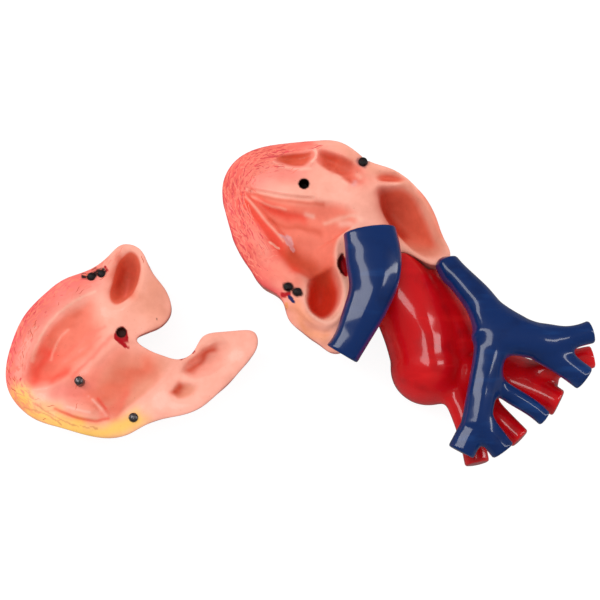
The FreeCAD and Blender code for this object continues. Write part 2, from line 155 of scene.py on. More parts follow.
def curve_through(points: Sequence[Sequence[float]], closed: bool, spacing: float = 0.8) -> Array:
    """Sample a smooth curve through points at an even spacing.

    Args:
        points: The points it passes through, of two or three values each.
        closed: Whether it returns to its first point.
        spacing: The distance between samples.

    Returns:
        The samples, one row each; a closed curve doesn't repeat its first point.
    """
    steps_per_span = 24
    fewest_samples = 8
    knots = np.array(points, float)
    if closed:
        padded = np.vstack([knots[-1:], knots, knots[:2]])
    else:
        padded = np.vstack([2 * knots[:1] - knots[1:2], knots, 2 * knots[-1:] - knots[-2:-1]])
    share = np.linspace(0, 1, steps_per_span, endpoint=False)[:, None]
    runs = []
    for before, start, end, after in zip(padded, padded[1:], padded[2:], padded[3:]):
        runs.append(0.5 * (2 * start + (end - before) * share
                           + (2 * before - 5 * start + 4 * end - after) * share ** 2
                           + (3 * start - before - 3 * end + after) * share ** 3))
    dense = np.vstack(runs + [padded[-2:-1]])
    travelled = np.concatenate([[0], np.cumsum(np.linalg.norm(np.diff(dense, axis=0), axis=1))])
    count = max(int(travelled[-1] / spacing), fewest_samples)
    stops = np.linspace(0, travelled[-1], count + 1)
    samples = np.column_stack([np.interp(stops, travelled, column) for column in dense.T])
    return samples[:-1] if closed else samples


def nearest_on(samples: Array, x: Array, y: Array, closed: bool) -> tuple[Array, Array, Array]:
    """Find each place's nearest point on a sampled plane curve.

    Args:
        samples: The curve's samples, two values each.
        x: The places' x.
        y: The places' y, the same shape.
        closed: Whether the curve is a loop.

    Returns:
        The signed distance (positive on the curve's left), the distance along the curve to the
        nearest point, and the share of its length that is.
    """
    ends = np.roll(samples, -1, axis=0) if closed else samples[1:]
    starts = samples if closed else samples[:-1]
    steps = ends - starts
    lengths = np.linalg.norm(steps, axis=1)
    before = np.concatenate([[0], np.cumsum(lengths)[:-1]])
    flat = np.column_stack([x.ravel(), y.ravel()])
    distance = np.empty(len(flat))
    along = np.empty(len(flat))
    block = 20000
    for first in range(0, len(flat), block):
        places = flat[first:first + block]
        offset = places[:, None, :] - samples[None, :, :]
        pick = np.argmin((offset ** 2).sum(axis=2), axis=1)
        best = np.full(len(places), np.inf)
        best_sign = np.ones(len(places))
        best_along = np.zeros(len(places))
        for candidate in (pick - 1, pick):
            if closed:
                index = candidate % len(starts)
            else:
                index = np.clip(candidate, 0, len(starts) - 1)
            relative = places - starts[index]
            share = np.clip((relative * steps[index]).sum(axis=1) / lengths[index] ** 2, 0, 1)
            gap = relative - steps[index] * share[:, None]
            reach = np.linalg.norm(gap, axis=1)
            cross = steps[index][:, 0] * relative[:, 1] - steps[index][:, 1] * relative[:, 0]
            better = reach < best
            best = np.where(better, reach, best)
            best_sign = np.where(better, np.where(cross >= 0, 1.0, -1.0), best_sign)
            best_along = np.where(better, before[index] + share * lengths[index], best_along)
        distance[first:first + block] = best * best_sign
        along[first:first + block] = best_along
    total = lengths.sum()
    return distance.reshape(x.shape), along.reshape(x.shape), (along / total).reshape(x.shape)


def blurred(values: Array, sigma: float) -> Array:
    """Blur a grid along all its axes.

    Args:
        values: The grid.
        sigma: The blur's standard deviation, in grid steps.

    Returns:
        The blurred grid, of the same shape.
    """
    deviations = 3
    reach = max(int(math.ceil(deviations * sigma)), 1)
    weights = np.exp(-0.5 * (np.arange(-reach, reach + 1) / sigma) ** 2)
    weights /= weights.sum()
    result = values
    for axis in range(values.ndim):
        padding = [(reach, reach) if number == axis else (0, 0) for number in range(values.ndim)]
        padded = np.pad(result, padding, mode="edge")
        size = values.shape[axis]
        result = sum(weight * np.take(padded, np.arange(shift, shift + size), axis=axis)
                     for shift, weight in enumerate(weights)).astype(values.dtype)
    return result


def waves(x: Array, y: Array, z: Array, length: float, seed: int) -> Array:
    """A smooth random field between about -1 and 1, the sum of a few waves.

    Args:
        x: Places' x.
        y: Places' y.
        z: Places' z.
        length: The typical wave length.
        seed: The random seed.

    Returns:
        One value for each place.
    """
    count = 7
    spread = (0.7, 1.5)
    random = np.random.default_rng(seed)
    total = 0.0
    for _ in range(count):
        direction = random.normal(size=3)
        direction *= 2 * math.pi / (length * random.uniform(*spread) * np.linalg.norm(direction))
        total = total + np.sin(x * direction[0] + y * direction[1] + z * direction[2]
                               + random.uniform(0, 2 * math.pi))
    return total / math.sqrt(count)


@dataclass(frozen=True)
class Sway:
    """A gentle unevenness in space.

    Attributes:
        reach: About how far it goes to either side.
        length: The typical length of its waves.
        seed: The random seed.
    """

    reach: float
    length: float
    seed: int

    def at(self, x: Array, y: Array, z: Array) -> Array:
        """Its value at each place."""
        return self.reach * waves(x, y, z, self.length, self.seed)


# ---------------------------------------------------------------- meshes


def read(items: bpy.types.bpy_prop_collection, name: str, kind: type = np.float32) -> Array:
    """Read a value of three numbers from each item of a mesh."""
    values = np.empty(len(items) * 3, kind)
    items.foreach_get(name, values)
    return values.reshape(-1, 3)


def node_triangles(node: str) -> tuple[Array, Array]:
    """A CAD node's points in millimetres and its triangles."""
    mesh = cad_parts[node].data
    mesh.calc_loop_triangles()
    return read(mesh.vertices, "co") / METRES, read(mesh.loop_triangles, "vertices", np.int32)


def points_of(piece: bpy.types.Object) -> tuple[Array, Array]:
    """A piece's points in millimetres and its normals."""
    return read(piece.data.vertices, "co") / METRES, read(piece.data.vertex_normals, "vector")


def linked(name: str, data: bpy.types.ID) -> bpy.types.Object:
    """Make an object at the origin and link it to the scene."""
    thing = bpy.data.objects.new(name, data)
    bpy.context.scene.collection.objects.link(thing)
    return thing


def new_piece(name: str, points: Array, faces: Iterable[Sequence[int]]) -> bpy.types.Object:
    """Make a smooth-shaded mesh object from points in millimetres."""
    mesh = bpy.data.meshes.new(name)
    mesh.from_pydata((np.asarray(points, float) * METRES).tolist(), [], [tuple(f) for f in faces])
    mesh.shade_smooth()
    mesh.update()
    return linked(name, mesh)


def store(piece: bpy.types.Object, name: str, kind: str, values: Array) -> None:
    """Store a number, a vector or a linear colour for each point, as the kind says."""
    key = {"FLOAT": "value", "FLOAT_VECTOR": "vector", "FLOAT_COLOR": "color"}[kind]
    if kind == "FLOAT_COLOR":
        values = np.column_stack([values, np.ones(len(values))])
    attribute = piece.data.attributes.new(name, kind, "POINT")
    attribute.data.foreach_set(key, np.asarray(values, np.float32).ravel())


def settle(piece: bpy.types.Object, body: Body, material: bpy.types.Material,
           nodes: Sequence[str] = ()) -> bpy.types.Object:
    """Dress a finished piece and put it on its body.

    Args:
        piece: The piece, in place.
        body: The body that it rides on.
        material: Its material.
        nodes: The CAD nodes that it stands for.

    Returns:
        The same piece.
    """
    piece.data.materials.clear()
    piece.data.materials.append(material)
    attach(piece, body.value)
    if nodes:
        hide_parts(*nodes)
    LOG.info("%s: %d faces", piece.name, len(piece.data.polygons))
    return piece


def section_outline(node: str, height: float) -> Array:
    """The outer outline of a CAD node's level cut, anticlockwise, one point a millimetre.

    It starts at its highest X, where no casting has fibres, and so runs the same way each time.
    """
    weld_m = 1e-6
    mesh = bmesh.new()
    mesh.from_mesh(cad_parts[node].data)
    bmesh.ops.remove_doubles(mesh, verts=mesh.verts, dist=weld_m)
    everything = mesh.verts[:] + mesh.edges[:] + mesh.faces[:]
    cut = bmesh.ops.bisect_plane(mesh, geom=everything, plane_co=(0, 0, height * METRES),
                                 plane_no=(0, 0, 1))["geom_cut"]
    edges = {item for item in cut if isinstance(item, bmesh.types.BMEdge)}
    loops = []
    while edges:
        edge = edges.pop()
        chain = [edge.verts[0], edge.verts[1]]
        while True:
            step = next((e for e in chain[-1].link_edges if e in edges), None)
            if step is None:
                break
            edges.discard(step)
            chain.append(step.other_vert(chain[-1]))
        loops.append(np.array([v.co.xy for v in chain]) / METRES)
    mesh.free()
    loop = max(loops, key=lambda item: np.linalg.norm(np.diff(item, axis=0), axis=1).sum())
    area = np.sum(loop[:-1, 0] * loop[1:, 1] - loop[1:, 0] * loop[:-1, 1])
    loop = (loop if area > 0 else loop[::-1])[1:]
    first = np.lexsort((loop[:, 1], loop[:, 0]))[-1]
    loop = np.vstack([loop[first:], loop[:first + 1]])
    travelled = np.concatenate([[0], np.cumsum(np.linalg.norm(np.diff(loop, axis=0), axis=1))])
    stops = np.linspace(0, travelled[-1], int(travelled[-1]), endpoint=False)
    return np.column_stack([np.interp(stops, travelled, column) for column in loop.T])


class VoxelField:
    """A signed distance in millimetres on a cubic grid, negative inside the solid."""

    def __init__(self, low: Array, high: Array, voxel: float) -> None:
        """Lay the grid.

        Args:
            low: The lowest corner that it covers.
            high: The highest corner that it covers.
            voxel: The distance between its samples.
        """
        margin = 4
        self.voxel = voxel
        self.start = np.floor(np.asarray(low) / voxel).astype(int) - margin
        self.shape = tuple(np.ceil(np.asarray(high) / voxel).astype(int) + margin - self.start)
        self.values = np.full(self.shape, FAR, np.float32)

    @property
    def axes(self) -> tuple[Array, Array, Array]:
        """The samples' x, y and z, shaped so that they broadcast over the grid."""
        x, y, z = (((start + np.arange(size)) * self.voxel).astype(np.float32)
                   for start, size in zip(self.start, self.shape))
        return x[:, None, None], y[None, :, None], z[None, None, :]

    def distance_to(self, points: Array, triangles: Array, band: float = 6.0) -> Array:
        """Sample the signed distance to a closed mesh over the whole grid.

        Args:
            points: The mesh's points.
            triangles: The mesh's triangles.
            band: How far from the surface the distance still grows.

        Returns:
            One value for each sample.
        """
        transform = openvdb.createLinearTransform(voxelSize=self.voxel)
        grid = openvdb.FloatGrid.createLevelSetFromPolygons(
            np.ascontiguousarray(points, dtype=np.float32),
            triangles=np.ascontiguousarray(triangles, dtype=np.uint32),
            transform=transform, halfWidth=band / self.voxel)
        values = np.empty(self.shape, np.float32)
        grid.copyToArray(values, ijk=tuple(int(item) for item in self.start))
        return values

    def to_piece(self, name: str) -> bpy.types.Object:
        """Turn the zero surface into a mesh object with outward faces."""
        grid = openvdb.FloatGrid(1.0)
        grid.copyFromArray(np.ascontiguousarray(self.values),
                           ijk=tuple(int(item) for item in self.start))
        grid.transform = openvdb.createLinearTransform(voxelSize=self.voxel)
        points, triangles, quads = grid.convertToPolygons(0.0, 0.0)
        return new_piece(name, points, triangles.tolist() + quads.tolist())


# ---------------------------------------------------------------- relief on the section faces


@dataclass(frozen=True)
class Basin:
    """A hollow that falls from its rim to its deepest point.

    Attributes:
        deepest: The deepest point's place.
        rim: Points round the rim, seen from the deepest point.
        depth: The depth there.
        fullness: 1 for a cone; more gives a flatter floor and a steeper wall.
        paint: The colour laid on its floor, more of it the deeper a place lies.
        full: The share of its depth at which that colour covers fully.
    """

    deepest: Point
    rim: Line
    depth: float
    fullness: float
    paint: Paint
    full: float = 0.6

    def fall(self, x: Array, y: Array) -> Array:
        """How far the surface lies below the face at each place."""
        outline = curve_through(self.rim, closed=True)
        offset = outline - np.array(self.deepest)
        angles = np.arctan2(offset[:, 1], offset[:, 0])
        order = np.argsort(angles)
        reach = np.interp(np.arctan2(y - self.deepest[1], x - self.deepest[0]), angles[order],
                          np.linalg.norm(offset, axis=1)[order], period=2 * math.pi)
        share = np.hypot(x - self.deepest[0], y - self.deepest[1]) / reach
        return self.depth * np.clip(1 - share ** self.fullness, 0.0, None)


@dataclass(frozen=True)
class Ridge:
    """A raised line, or a groove where its height is negative.

    Attributes:
        line: The points that it passes through.
        height: The height of its crest.
        left: How far it reaches to the left of its course.
        right: How far it reaches to the right.
        ends: The share of its length over which each end fades out.
    """

    line: Line
    height: float
    left: float
    right: float
    ends: float = 0.3

    def lift(self, x: Array, y: Array) -> Array:
        """The height that it adds at each place."""
        samples = curve_through(self.line, closed=False)
        across, _, share = nearest_on(samples, x, y, closed=False)
        width = np.where(across > 0, self.left, self.right)
        profile = np.exp(-(across / width) ** 2)
        ends = fade(np.minimum(share, 1 - share), 0.0, self.ends)
        return self.height * profile * ends


@dataclass(frozen=True)
class Swell:
    """A soft oval bump, or a dip where its height is negative.

    Attributes:
        centre: Its middle.
        radii: Its half lengths along and across.
        height: The height of its middle.
        turn: Degrees from the X axis to its long axis.
    """

    centre: Point
    radii: Point
    height: float
    turn: float = 0.0

    def lift(self, x: Array, y: Array) -> Array:
        """The height that it adds at each place."""
        angle = math.radians(self.turn)
        dx, dy = x - self.centre[0], y - self.centre[1]
        along = (dx * math.cos(angle) + dy * math.sin(angle)) / self.radii[0]
        across = (dy * math.cos(angle) - dx * math.sin(angle)) / self.radii[1]
        return self.height * np.exp(-(along ** 2 + across ** 2))


@dataclass(frozen=True)
class Hole:
    """A round hole straight down into a casting.

    Attributes:
        centre: Its axis.
        radius: Its radius.
        depth: How far it goes down from the section face.
        paint: The dark paint of its wall, painted shade that makes the hole look deep.
    """

    centre: Point
    radius: float
    depth: float
    paint: Paint


@dataclass(frozen=True)
class Patch:
    """A stroke of colour on a casting's face; some are the model's paint, others painted highlights and
    painted shade.

    Attributes:
        line: The points that its middle passes through, or a single point.
        width: How far it reaches to each side.
        paint: Its paint.
        strength: How much it covers, up to 1.
        crisp: Whether it ends at an edge and doesn't fade out.
    """

    line: Line
    width: float
    paint: Paint
    strength: float = 1.0
    crisp: bool = False

    def cover(self, x: Array, y: Array) -> Array:
        """How much of it covers each place."""
        outer, inner = 1.2, 0.8
        if len(self.line) == 1:
            reach = np.hypot(x - self.line[0][0], y - self.line[0][1])
        else:
            reach = np.abs(nearest_on(curve_through(self.line, closed=False), x, y, False)[0])
        if self.crisp:
            return self.strength * fade(reach, self.width * outer, self.width * inner)
        return self.strength * np.exp(-(reach / self.width) ** 2)


@dataclass
class Casting:
    """One half's casting: its outer form from the frame, and its section face in relief.

    Attributes:
        node: The CAD node that it stands for.
        body: The body that it rides on.
        face: The height of its section face.
        voxel: The distance between samples of the sculpted form.
        basins: Its chambers; each inner group is joined with soft creases.
        crease: The radius of those soft creases.
        relief: Ridges, grooves and swells of the face.
        holes: The round holes in the face.
        edge_roll: How far the face falls at its outer edge, and over what width.
        softening: The blur that rounds every edge.
        soft_places: Where the relief is blurred more, as swells of strength up to 1.
        soft_blur: The blur there.
        rind: How high above the underside and how far inside the outline the block is filled
            before its hollows are carved.
        foot: How much its underside is trimmed above the table, before the edges are rounded.
        lumps: The unevenness of its outside.
        lumps_from: The depths below the face at which that begins and is full.
        outline_depth: How far below the face the outline is read.
        outline: The outline of the frame's solid there.
    """

    node: str
    body: Body
    face: float
    voxel: float
    basins: tuple[Basin, ...]
    crease: float
    relief: tuple[Ridge | Swell, ...]
    holes: tuple[Hole, ...]
    edge_roll: Point = (1.6, 2.6)
    softening: float = 0.55
    soft_places: tuple[Swell, ...] = ()
    soft_blur: float = 2.2
    rind: Point = (2.5, 1.8)
    foot: float = 0.35
    lumps: Sway = Sway(0.35, 17.0, 5)
    lumps_from: Point = (2.0, 8.0)
    outline_depth: float = 0.4
    outline: Array = field(init=False, repr=False)

    def __post_init__(self) -> None:
        """Read the outline of the frame's solid just under the section face."""
        self.outline = section_outline(self.node, self.face - self.outline_depth)

    def fall(self, x: Array, y: Array) -> Array:
        """How far each place lies below the section face."""
        total = np.zeros(np.broadcast(x, y).shape)
        for basin in self.basins:
            total = smooth_max(total, basin.fall(x, y), self.crease)
        total = total - smooth_max(np.zeros(1), np.zeros(1), self.crease)
        for item in self.relief:
            total = total - item.lift(x, y)
        return total

    def section(self, x: Array, y: Array) -> Array:
        """The section surface's height at each place of a plan grid."""
        fall = self.fall(x, y)
        soft = blurred(fall, self.soft_blur / self.voxel)
        share = np.zeros(x.shape)
        for place in self.soft_places:
            share = np.maximum(share, place.lift(x, y))
        fall = fall * (1 - share) + soft * share
        edge, _, _ = nearest_on(self.outline, x, y, closed=True)
        depth, width = self.edge_roll
        roll = depth * np.exp(-np.clip(edge, 0, None) / width)
        return self.face - fall - roll

    def sculpt(self) -> bpy.types.Object:
        """Build the casting's mesh."""
        points, triangles = node_triangles(self.node)
        form = VoxelField(points.min(axis=0), points.max(axis=0), self.voxel)
        solid = form.distance_to(points, triangles)
        x, y, z = form.axes
        plan_x, plan_y = np.meshgrid(x.ravel(), y.ravel(), indexing="ij")
        edge, _, _ = nearest_on(self.outline, plan_x, plan_y, closed=True)
        underside = self.underside(form, solid)
        above, inside = self.rind
        core = np.maximum(underside[:, :, None] + above - z, inside - edge[:, :, None])
        solid = np.minimum(solid, core)
        section = self.section(plan_x, plan_y)
        slope_x, slope_y = np.gradient(section, self.voxel)
        steepness = np.sqrt(1 + slope_x ** 2 + slope_y ** 2)
        top = (z - section[:, :, None]) / steepness[:, :, None]
        lumps = self.lumps.at(x, y, z) * fade(self.face - z, *self.lumps_from)
        values = np.maximum(solid - lumps, np.maximum(top, self.foot - z))
        values = blurred(values.astype(np.float32), self.softening / self.voxel)
        for hole in self.holes:
            reach = np.hypot(x - hole.centre[0], y - hole.centre[1]) - hole.radius
            bore = np.maximum(reach, self.face - hole.depth - z)
            values = np.maximum(values, -bore)
        form.values = np.maximum(values, CLEARANCE - z).astype(np.float32)
        return form.to_piece(self.node + "_moulding")

    @staticmethod
    def underside(form: VoxelField, solid: Array) -> Array:
        """The height of the solid's lowest surface over each place of the plan."""
        inside = solid < 0
        first = np.argmax(inside, axis=2)
        height = (form.start[2] + first) * form.voxel
        return np.where(inside.any(axis=2), height, FAR).astype(np.float32)


# ---------------------------------------------------------------- finishes


@dataclass(frozen=True)
class Grain:
    """One scale of a surface's small relief.

    Attributes:
        scale: The noise's scale, in waves per metre.
        detail: How many finer octaves it has.
        depth_m: How deep it goes.
        rough: How strong the finer octaves are.
    """

    scale: float
    detail: float
    depth_m: float
    rough: float = 0.5


@dataclass(frozen=True)
class Clouds:
    """Soft patches in which a value changes.

    Attributes:
        scale: The noise's scale, in waves per metre.
        detail: How many finer octaves it has.
        span: The noise's values at which the change begins and ends.
        values: The value outside and inside the patches.
        rough: How strong the finer octaves are.
    """

    scale: float
    detail: float
    span: Point
    values: Point = (0.0, 1.0)
    rough: float = 0.5


class NodePlan:
    """A node tree, laid out with short calls."""

    def __init__(self, tree: bpy.types.NodeTree) -> None:
        """Take the tree to lay out."""
        self.tree = tree

    def feed(self, node: bpy.types.Node, inputs: dict[str | int, object]) -> None:
        """Link a node's inputs to sockets, or set their values."""
        for key, value in inputs.items():
            if isinstance(value, bpy.types.NodeSocket):
                self.tree.links.new(value, node.inputs[key])
            else:
                node.inputs[key].default_value = value

    def add(self, kind: str, inputs: dict[str | int, object] | None = None,
            **settings: object) -> bpy.types.NodeOutputs:
        """Add a node, set its properties and feed its inputs; hand over its outputs."""
        node = self.tree.nodes.new(kind)
        for key, value in settings.items():
            setattr(node, key, value)
        self.feed(node, inputs or {})
        return node.outputs

    def math(self, operation: str, first: object, second: object = 0.0) -> bpy.types.NodeSocket:
        """Combine two numbers or sockets."""
        return self.add("ShaderNodeMath", {0: first, 1: second}, operation=operation)[0]

    def vector(self, x: object, y: object, z: object) -> bpy.types.NodeSocket:
        """Combine three numbers or sockets into a vector."""
        return self.add("ShaderNodeCombineXYZ", {0: x, 1: y, 2: z})[0]


class NodeSheet(NodePlan):
    """A material's node tree."""

    def __init__(self, name: str) -> None:
        """Start an empty material."""
        self.material = bpy.data.materials.new(name)
        self.material.use_nodes = True
        super().__init__(self.material.node_tree)
        self.tree.nodes.clear()
        self.shader = self.tree.nodes.new("ShaderNodeBsdfPrincipled")
        self.add("ShaderNodeOutputMaterial", {"Surface": self.shader.outputs[0]})
        self.place = self.add("ShaderNodeTexCoord")["Object"]

    def attribute(self, name: str) -> bpy.types.NodeOutputs:
        """Read a point attribute."""
        return self.add("ShaderNodeAttribute", attribute_name=name)

    def noise(self, scale: float, detail: float, rough: float = 0.5,
              place: bpy.types.NodeSocket | None = None) -> bpy.types.NodeSocket:
        """A noise texture's value, at the place on the piece in metres unless another is given."""
        return self.add("ShaderNodeTexNoise", {"Vector": place or self.place, "Scale": scale,
                                               "Detail": detail, "Roughness": rough})["Fac"]

    def ramp(self, value: bpy.types.NodeSocket, low: float, high: float,
             bottom: float = 0.0, top: float = 1.0) -> bpy.types.NodeSocket:
        """Map a value smoothly from one range to another."""
        return self.add("ShaderNodeMapRange", {0: value, 1: low, 2: high, 3: bottom, 4: top},
                        interpolation_type="SMOOTHSTEP")["Result"]

    def clouds(self, clouds: Clouds,
               place: bpy.types.NodeSocket | None = None) -> bpy.types.NodeSocket:
        """A value that changes in soft patches."""
        noise = self.noise(clouds.scale, clouds.detail, clouds.rough, place)
        return self.ramp(noise, *clouds.span, *clouds.values)

    def mix(self, share: object, first: object, second: object,
            blend: str = "MIX") -> bpy.types.NodeSocket:
        """Mix two colours."""
        first, second = (item if isinstance(item, bpy.types.NodeSocket) else (*item, 1.0)
                         for item in (first, second))
        return self.add("ShaderNodeMix", {0: share, 6: first, 7: second}, data_type="RGBA",
                        blend_type=blend)[2]

    def bump(self, height: bpy.types.NodeSocket, depth_m: float,
             normal: bpy.types.NodeSocket | None = None) -> bpy.types.NodeSocket:
        """Turn a height into a bumped normal."""
        below = {} if normal is None else {"Normal": normal}
        return self.add("ShaderNodeBump", {"Strength": 1.0, "Distance": depth_m, "Height": height,
                                           **below})[0]

    def relief(self, *grains: Grain,
               normal: bpy.types.NodeSocket | None = None) -> bpy.types.NodeSocket:
        """Bump the surface with grains, one over the other."""
        for grain in grains:
            normal = self.bump(self.noise(grain.scale, grain.detail, grain.rough), grain.depth_m, normal)
        return normal

    def finish(self, **values: object) -> bpy.types.Material:
        """Set the shader's sockets and hand over the material."""
        self.feed(self.shader, {key.replace("_", " "): value for key, value in values.items()})
        return self.material


@dataclass(frozen=True)
class FleshFinish:
    """Hand-painted flesh: point colours with painted highlights and painted shade laid in, brushed muscle
    fibres on the rims and a satin coat.

    Attributes:
        name: The material's name.
        dark: The darker fibres' paint.
        light: The lighter fibres' paint.
        stroke: How long and how far apart the fibres are, in millimetres.
        cover: How much of the rim the dark and the light fibres cover.
        drift: The scale and detail of the noise that bends the fibres, and how far it does.
        fibre: The noise's values at which a fibre begins and is full, before its cover comes off.
        finer: The size of the light fibres beside the dark ones.
        apart: What sets the light fibres' noise apart from the dark ones'.
        mottle: The light and dark clouds in the paint.
        green_fade: The power by which the clouds change the green; blue_fade is the blue's.
        dust: The specks that stick to it, of the colour dust_paint and the cover dust_cover.
        stroke_depth_m: How high the fibres stand.
        grains: The small relief under the coat.
        gloss: The roughness in clouds.
        wet: The coat's weight in clouds.
        coat_roughness: The coat's roughness.
        specular: The specular level under the coat.
    """

    name: str
    dark: Paint
    light: Paint
    stroke: Point
    cover: Point
    drift: Triple = (85.0, 2.0, 5.5)
    fibre: Point = (0.66, 0.72)
    finer: float = 0.8
    apart: float = 7.3
    mottle: Clouds = Clouds(60.0, 4.0, (0.3, 0.7), (0.90, 1.06), 0.6)
    green_fade: float = 1.4
    blue_fade: float = 1.6
    dust: Clouds = Clouds(900.0, 1.0, (0.77, 0.80))
    dust_paint: Colour = (120, 60, 50)
    dust_cover: float = 0.35
    stroke_depth_m: float = 0.00006
    grains: tuple[Grain, ...] = (Grain(140.0, 3.0, 0.00035), Grain(700.0, 2.0, 0.00003))
    gloss: Clouds = Clouds(45.0, 3.0, (0.3, 0.7), (0.38, 0.52))
    wet: Clouds = Clouds(60.0, 2.0, (0.6, 0.68), (0.0, 0.4))
    coat_roughness: float = 0.1
    specular: float = 0.1

    def material(self) -> bpy.types.Material:
        """Build the material."""
        sheet = NodeSheet(self.name)
        paint = sheet.attribute("paint")["Color"]
        along, across, amount = sheet.add("ShaderNodeSeparateXYZ",
                                          {0: sheet.attribute("fibre")["Vector"]})
        scale, detail, reach = self.drift
        across = sheet.math("ADD", across, sheet.math("MULTIPLY", sheet.noise(scale, detail), reach))
        dark = self.fibres(sheet, along, across, self.cover[0])
        light = self.fibres(sheet, along, across, self.cover[1], self.finer, self.apart)
        colour = sheet.mix(sheet.math("MULTIPLY", light, amount), paint, linear(self.light))
        colour = sheet.mix(sheet.math("MULTIPLY", dark, amount), colour, linear(self.dark))
        mottle = sheet.clouds(self.mottle)
        tone = sheet.vector(mottle, sheet.math("POWER", mottle, self.green_fade),
                            sheet.math("POWER", mottle, self.blue_fade))
        colour = sheet.mix(1.0, colour, tone, "MULTIPLY")
        dust = sheet.math("MULTIPLY", sheet.clouds(self.dust), self.dust_cover)
        colour = sheet.mix(dust, colour, linear(self.dust_paint))
        strokes = sheet.math("MULTIPLY", sheet.math("ADD", light, dark), amount)
        normal = sheet.relief(*self.grains, normal=sheet.bump(strokes, self.stroke_depth_m))
        return sheet.finish(Base_Color=colour, Roughness=sheet.clouds(self.gloss), Normal=normal,
                            Specular_IOR_Level=self.specular, Coat_Weight=sheet.clouds(self.wet),
                            Coat_Roughness=self.coat_roughness)

    def fibres(self, sheet: NodeSheet, along: bpy.types.NodeSocket, across: bpy.types.NodeSocket,
               cover: float, finer: float = 1.0, shift: float = 0.0) -> bpy.types.NodeSocket:
        """How much one set of fibres covers.

        Args:
            sheet: The material's sheet.
            along: The distance along the rim.
            across: The distance from the rim.
            cover: How much of the rim it covers.
            finer: The size of its fibres beside the usual one.
            shift: What sets its noise apart from the other set's.

        Returns:
            The socket with its share, from 0 to 1.
        """
        length, gap = self.stroke
        course = sheet.vector(sheet.math("DIVIDE", along, length * finer),
                              sheet.math("DIVIDE", across, gap * finer), shift)
        begin, full = self.fibre
        return sheet.ramp(sheet.noise(1.0, 2.0, place=course), begin - cover, full - cover)


@dataclass(frozen=True)
class EnamelFinish:
    """Glossy enamel laid on by brush: an uneven coat with faint streaks and thin places.

    Attributes:
        name: The material's name.
        colour: The enamel's colour, in display values.
        thin: Its colour where it is thin.
        thick: Its colour where it has run together.
        roughness: The roughness under the clear coat.
        brush_turn: Degrees from the X axis to the brush's way.
        brush_scale: The streaks' scales along it, across it and upwards, in waves per metre.
        streaks: Where the streaks show, in the brush's own scale.
        pooled: Where the enamel has run together.
        grains: The small relief under the coat.
        specks: The grit in it, which stands speck_depth_m high.
        coat_grain: The coat's own unevenness.
        coat_roughness: The coat's roughness.
        specular: The specular level under the coat.
    """

    name: str
    colour: Colour
    thin: Colour
    thick: Colour
    roughness: float = 0.3
    brush_turn: float = 55.0
    brush_scale: Triple = (40.0, 220.0, 120.0)
    streaks: Clouds = Clouds(1.0, 4.0, (0.52, 0.72), (0.0, 0.55))
    pooled: Clouds = Clouds(55.0, 3.0, (0.5, 0.75), (0.0, 0.7))
    grains: tuple[Grain, ...] = (Grain(95.0, 2.0, 0.00025), Grain(420.0, 2.0, 0.00005))
    specks: Clouds = Clouds(1100.0, 0.0, (0.76, 0.8))
    speck_depth_m: float = 0.00008
    coat_grain: Grain = Grain(40.0, 1.0, 0.00012)
    coat_roughness: float = 0.09
    specular: float = 0.15

    def material(self) -> bpy.types.Material:
        """Build the material."""
        sheet = NodeSheet(self.name)
        brush = sheet.add("ShaderNodeMapping", {
            "Vector": sheet.place, "Rotation": (0.0, 0.0, math.radians(self.brush_turn)),
            "Scale": self.brush_scale})[0]
        streaks = sheet.clouds(self.streaks, brush)
        colour = sheet.mix(streaks, linear(self.colour), linear(self.thin))
        colour = sheet.mix(sheet.clouds(self.pooled), colour, linear(self.thick))
        normal = sheet.bump(sheet.clouds(self.specks), self.speck_depth_m, sheet.relief(*self.grains))
        return sheet.finish(Base_Color=colour, Roughness=self.roughness, Normal=normal,
                            Specular_IOR_Level=self.specular, Coat_Weight=1.0,
                            Coat_Roughness=self.coat_roughness,
                            Coat_Normal=sheet.relief(self.coat_grain))


@dataclass(frozen=True)
class MetalFinish:
    """Bare worn metal with grime in patches.

    Attributes:
        name: The material's name.
        colour: The bare metal's colour, in display values.
        grime: The colour of what sticks to it.
        cover: How much of it is grimy, up to 1.
        span: The noise's values at which grime begins and is full, where cover is 0.
        spread: How far a full cover lowers both.
        roughness: The roughness of bare metal and of grime.
        grain: Its scratches and dents.
    """

    name: str
    colour: Colour
    grime: Colour
    cover: float
    span: Point = (0.64, 0.72)
    spread: float = 0.3
    roughness: Point = (0.32, 0.6)
    grain: Grain = Grain(900.0, 4.0, 0.00012, 0.7)

    def material(self) -> bpy.types.Material:
        """Build the material."""
        sheet = NodeSheet(self.name)
        begin, full = (value - self.spread * self.cover for value in self.span)
        dirt = sheet.clouds(Clouds(650.0, 4.0, (begin, full), rough=0.6))
        colour = sheet.mix(dirt, linear(self.colour), linear(self.grime))
        metal = sheet.math("SUBTRACT", 1.0, dirt)
        rough = sheet.ramp(dirt, 0.0, 1.0, *self.roughness)
        normal = sheet.relief(self.grain)
        return sheet.finish(Base_Color=colour, Metallic=metal, Roughness=rough, Normal=normal)


# ---------------------------------------------------------------- studio


@dataclass(frozen=True)
class SoftBox:
    """A rectangular lamp that points at the model.

    Attributes:
        name: The lamp's name.
        lean: Degrees from the vertical towards +X (negative towards -X).
        back: Degrees from the vertical towards +Y.
        size_m: Its width and length.
        radiance: How bright its surface looks.
        distance_m: How far it hangs from the aim.
    """

    name: str
    lean: float
    back: float
    size_m: Point
    radiance: float
    distance_m: float = 1.0


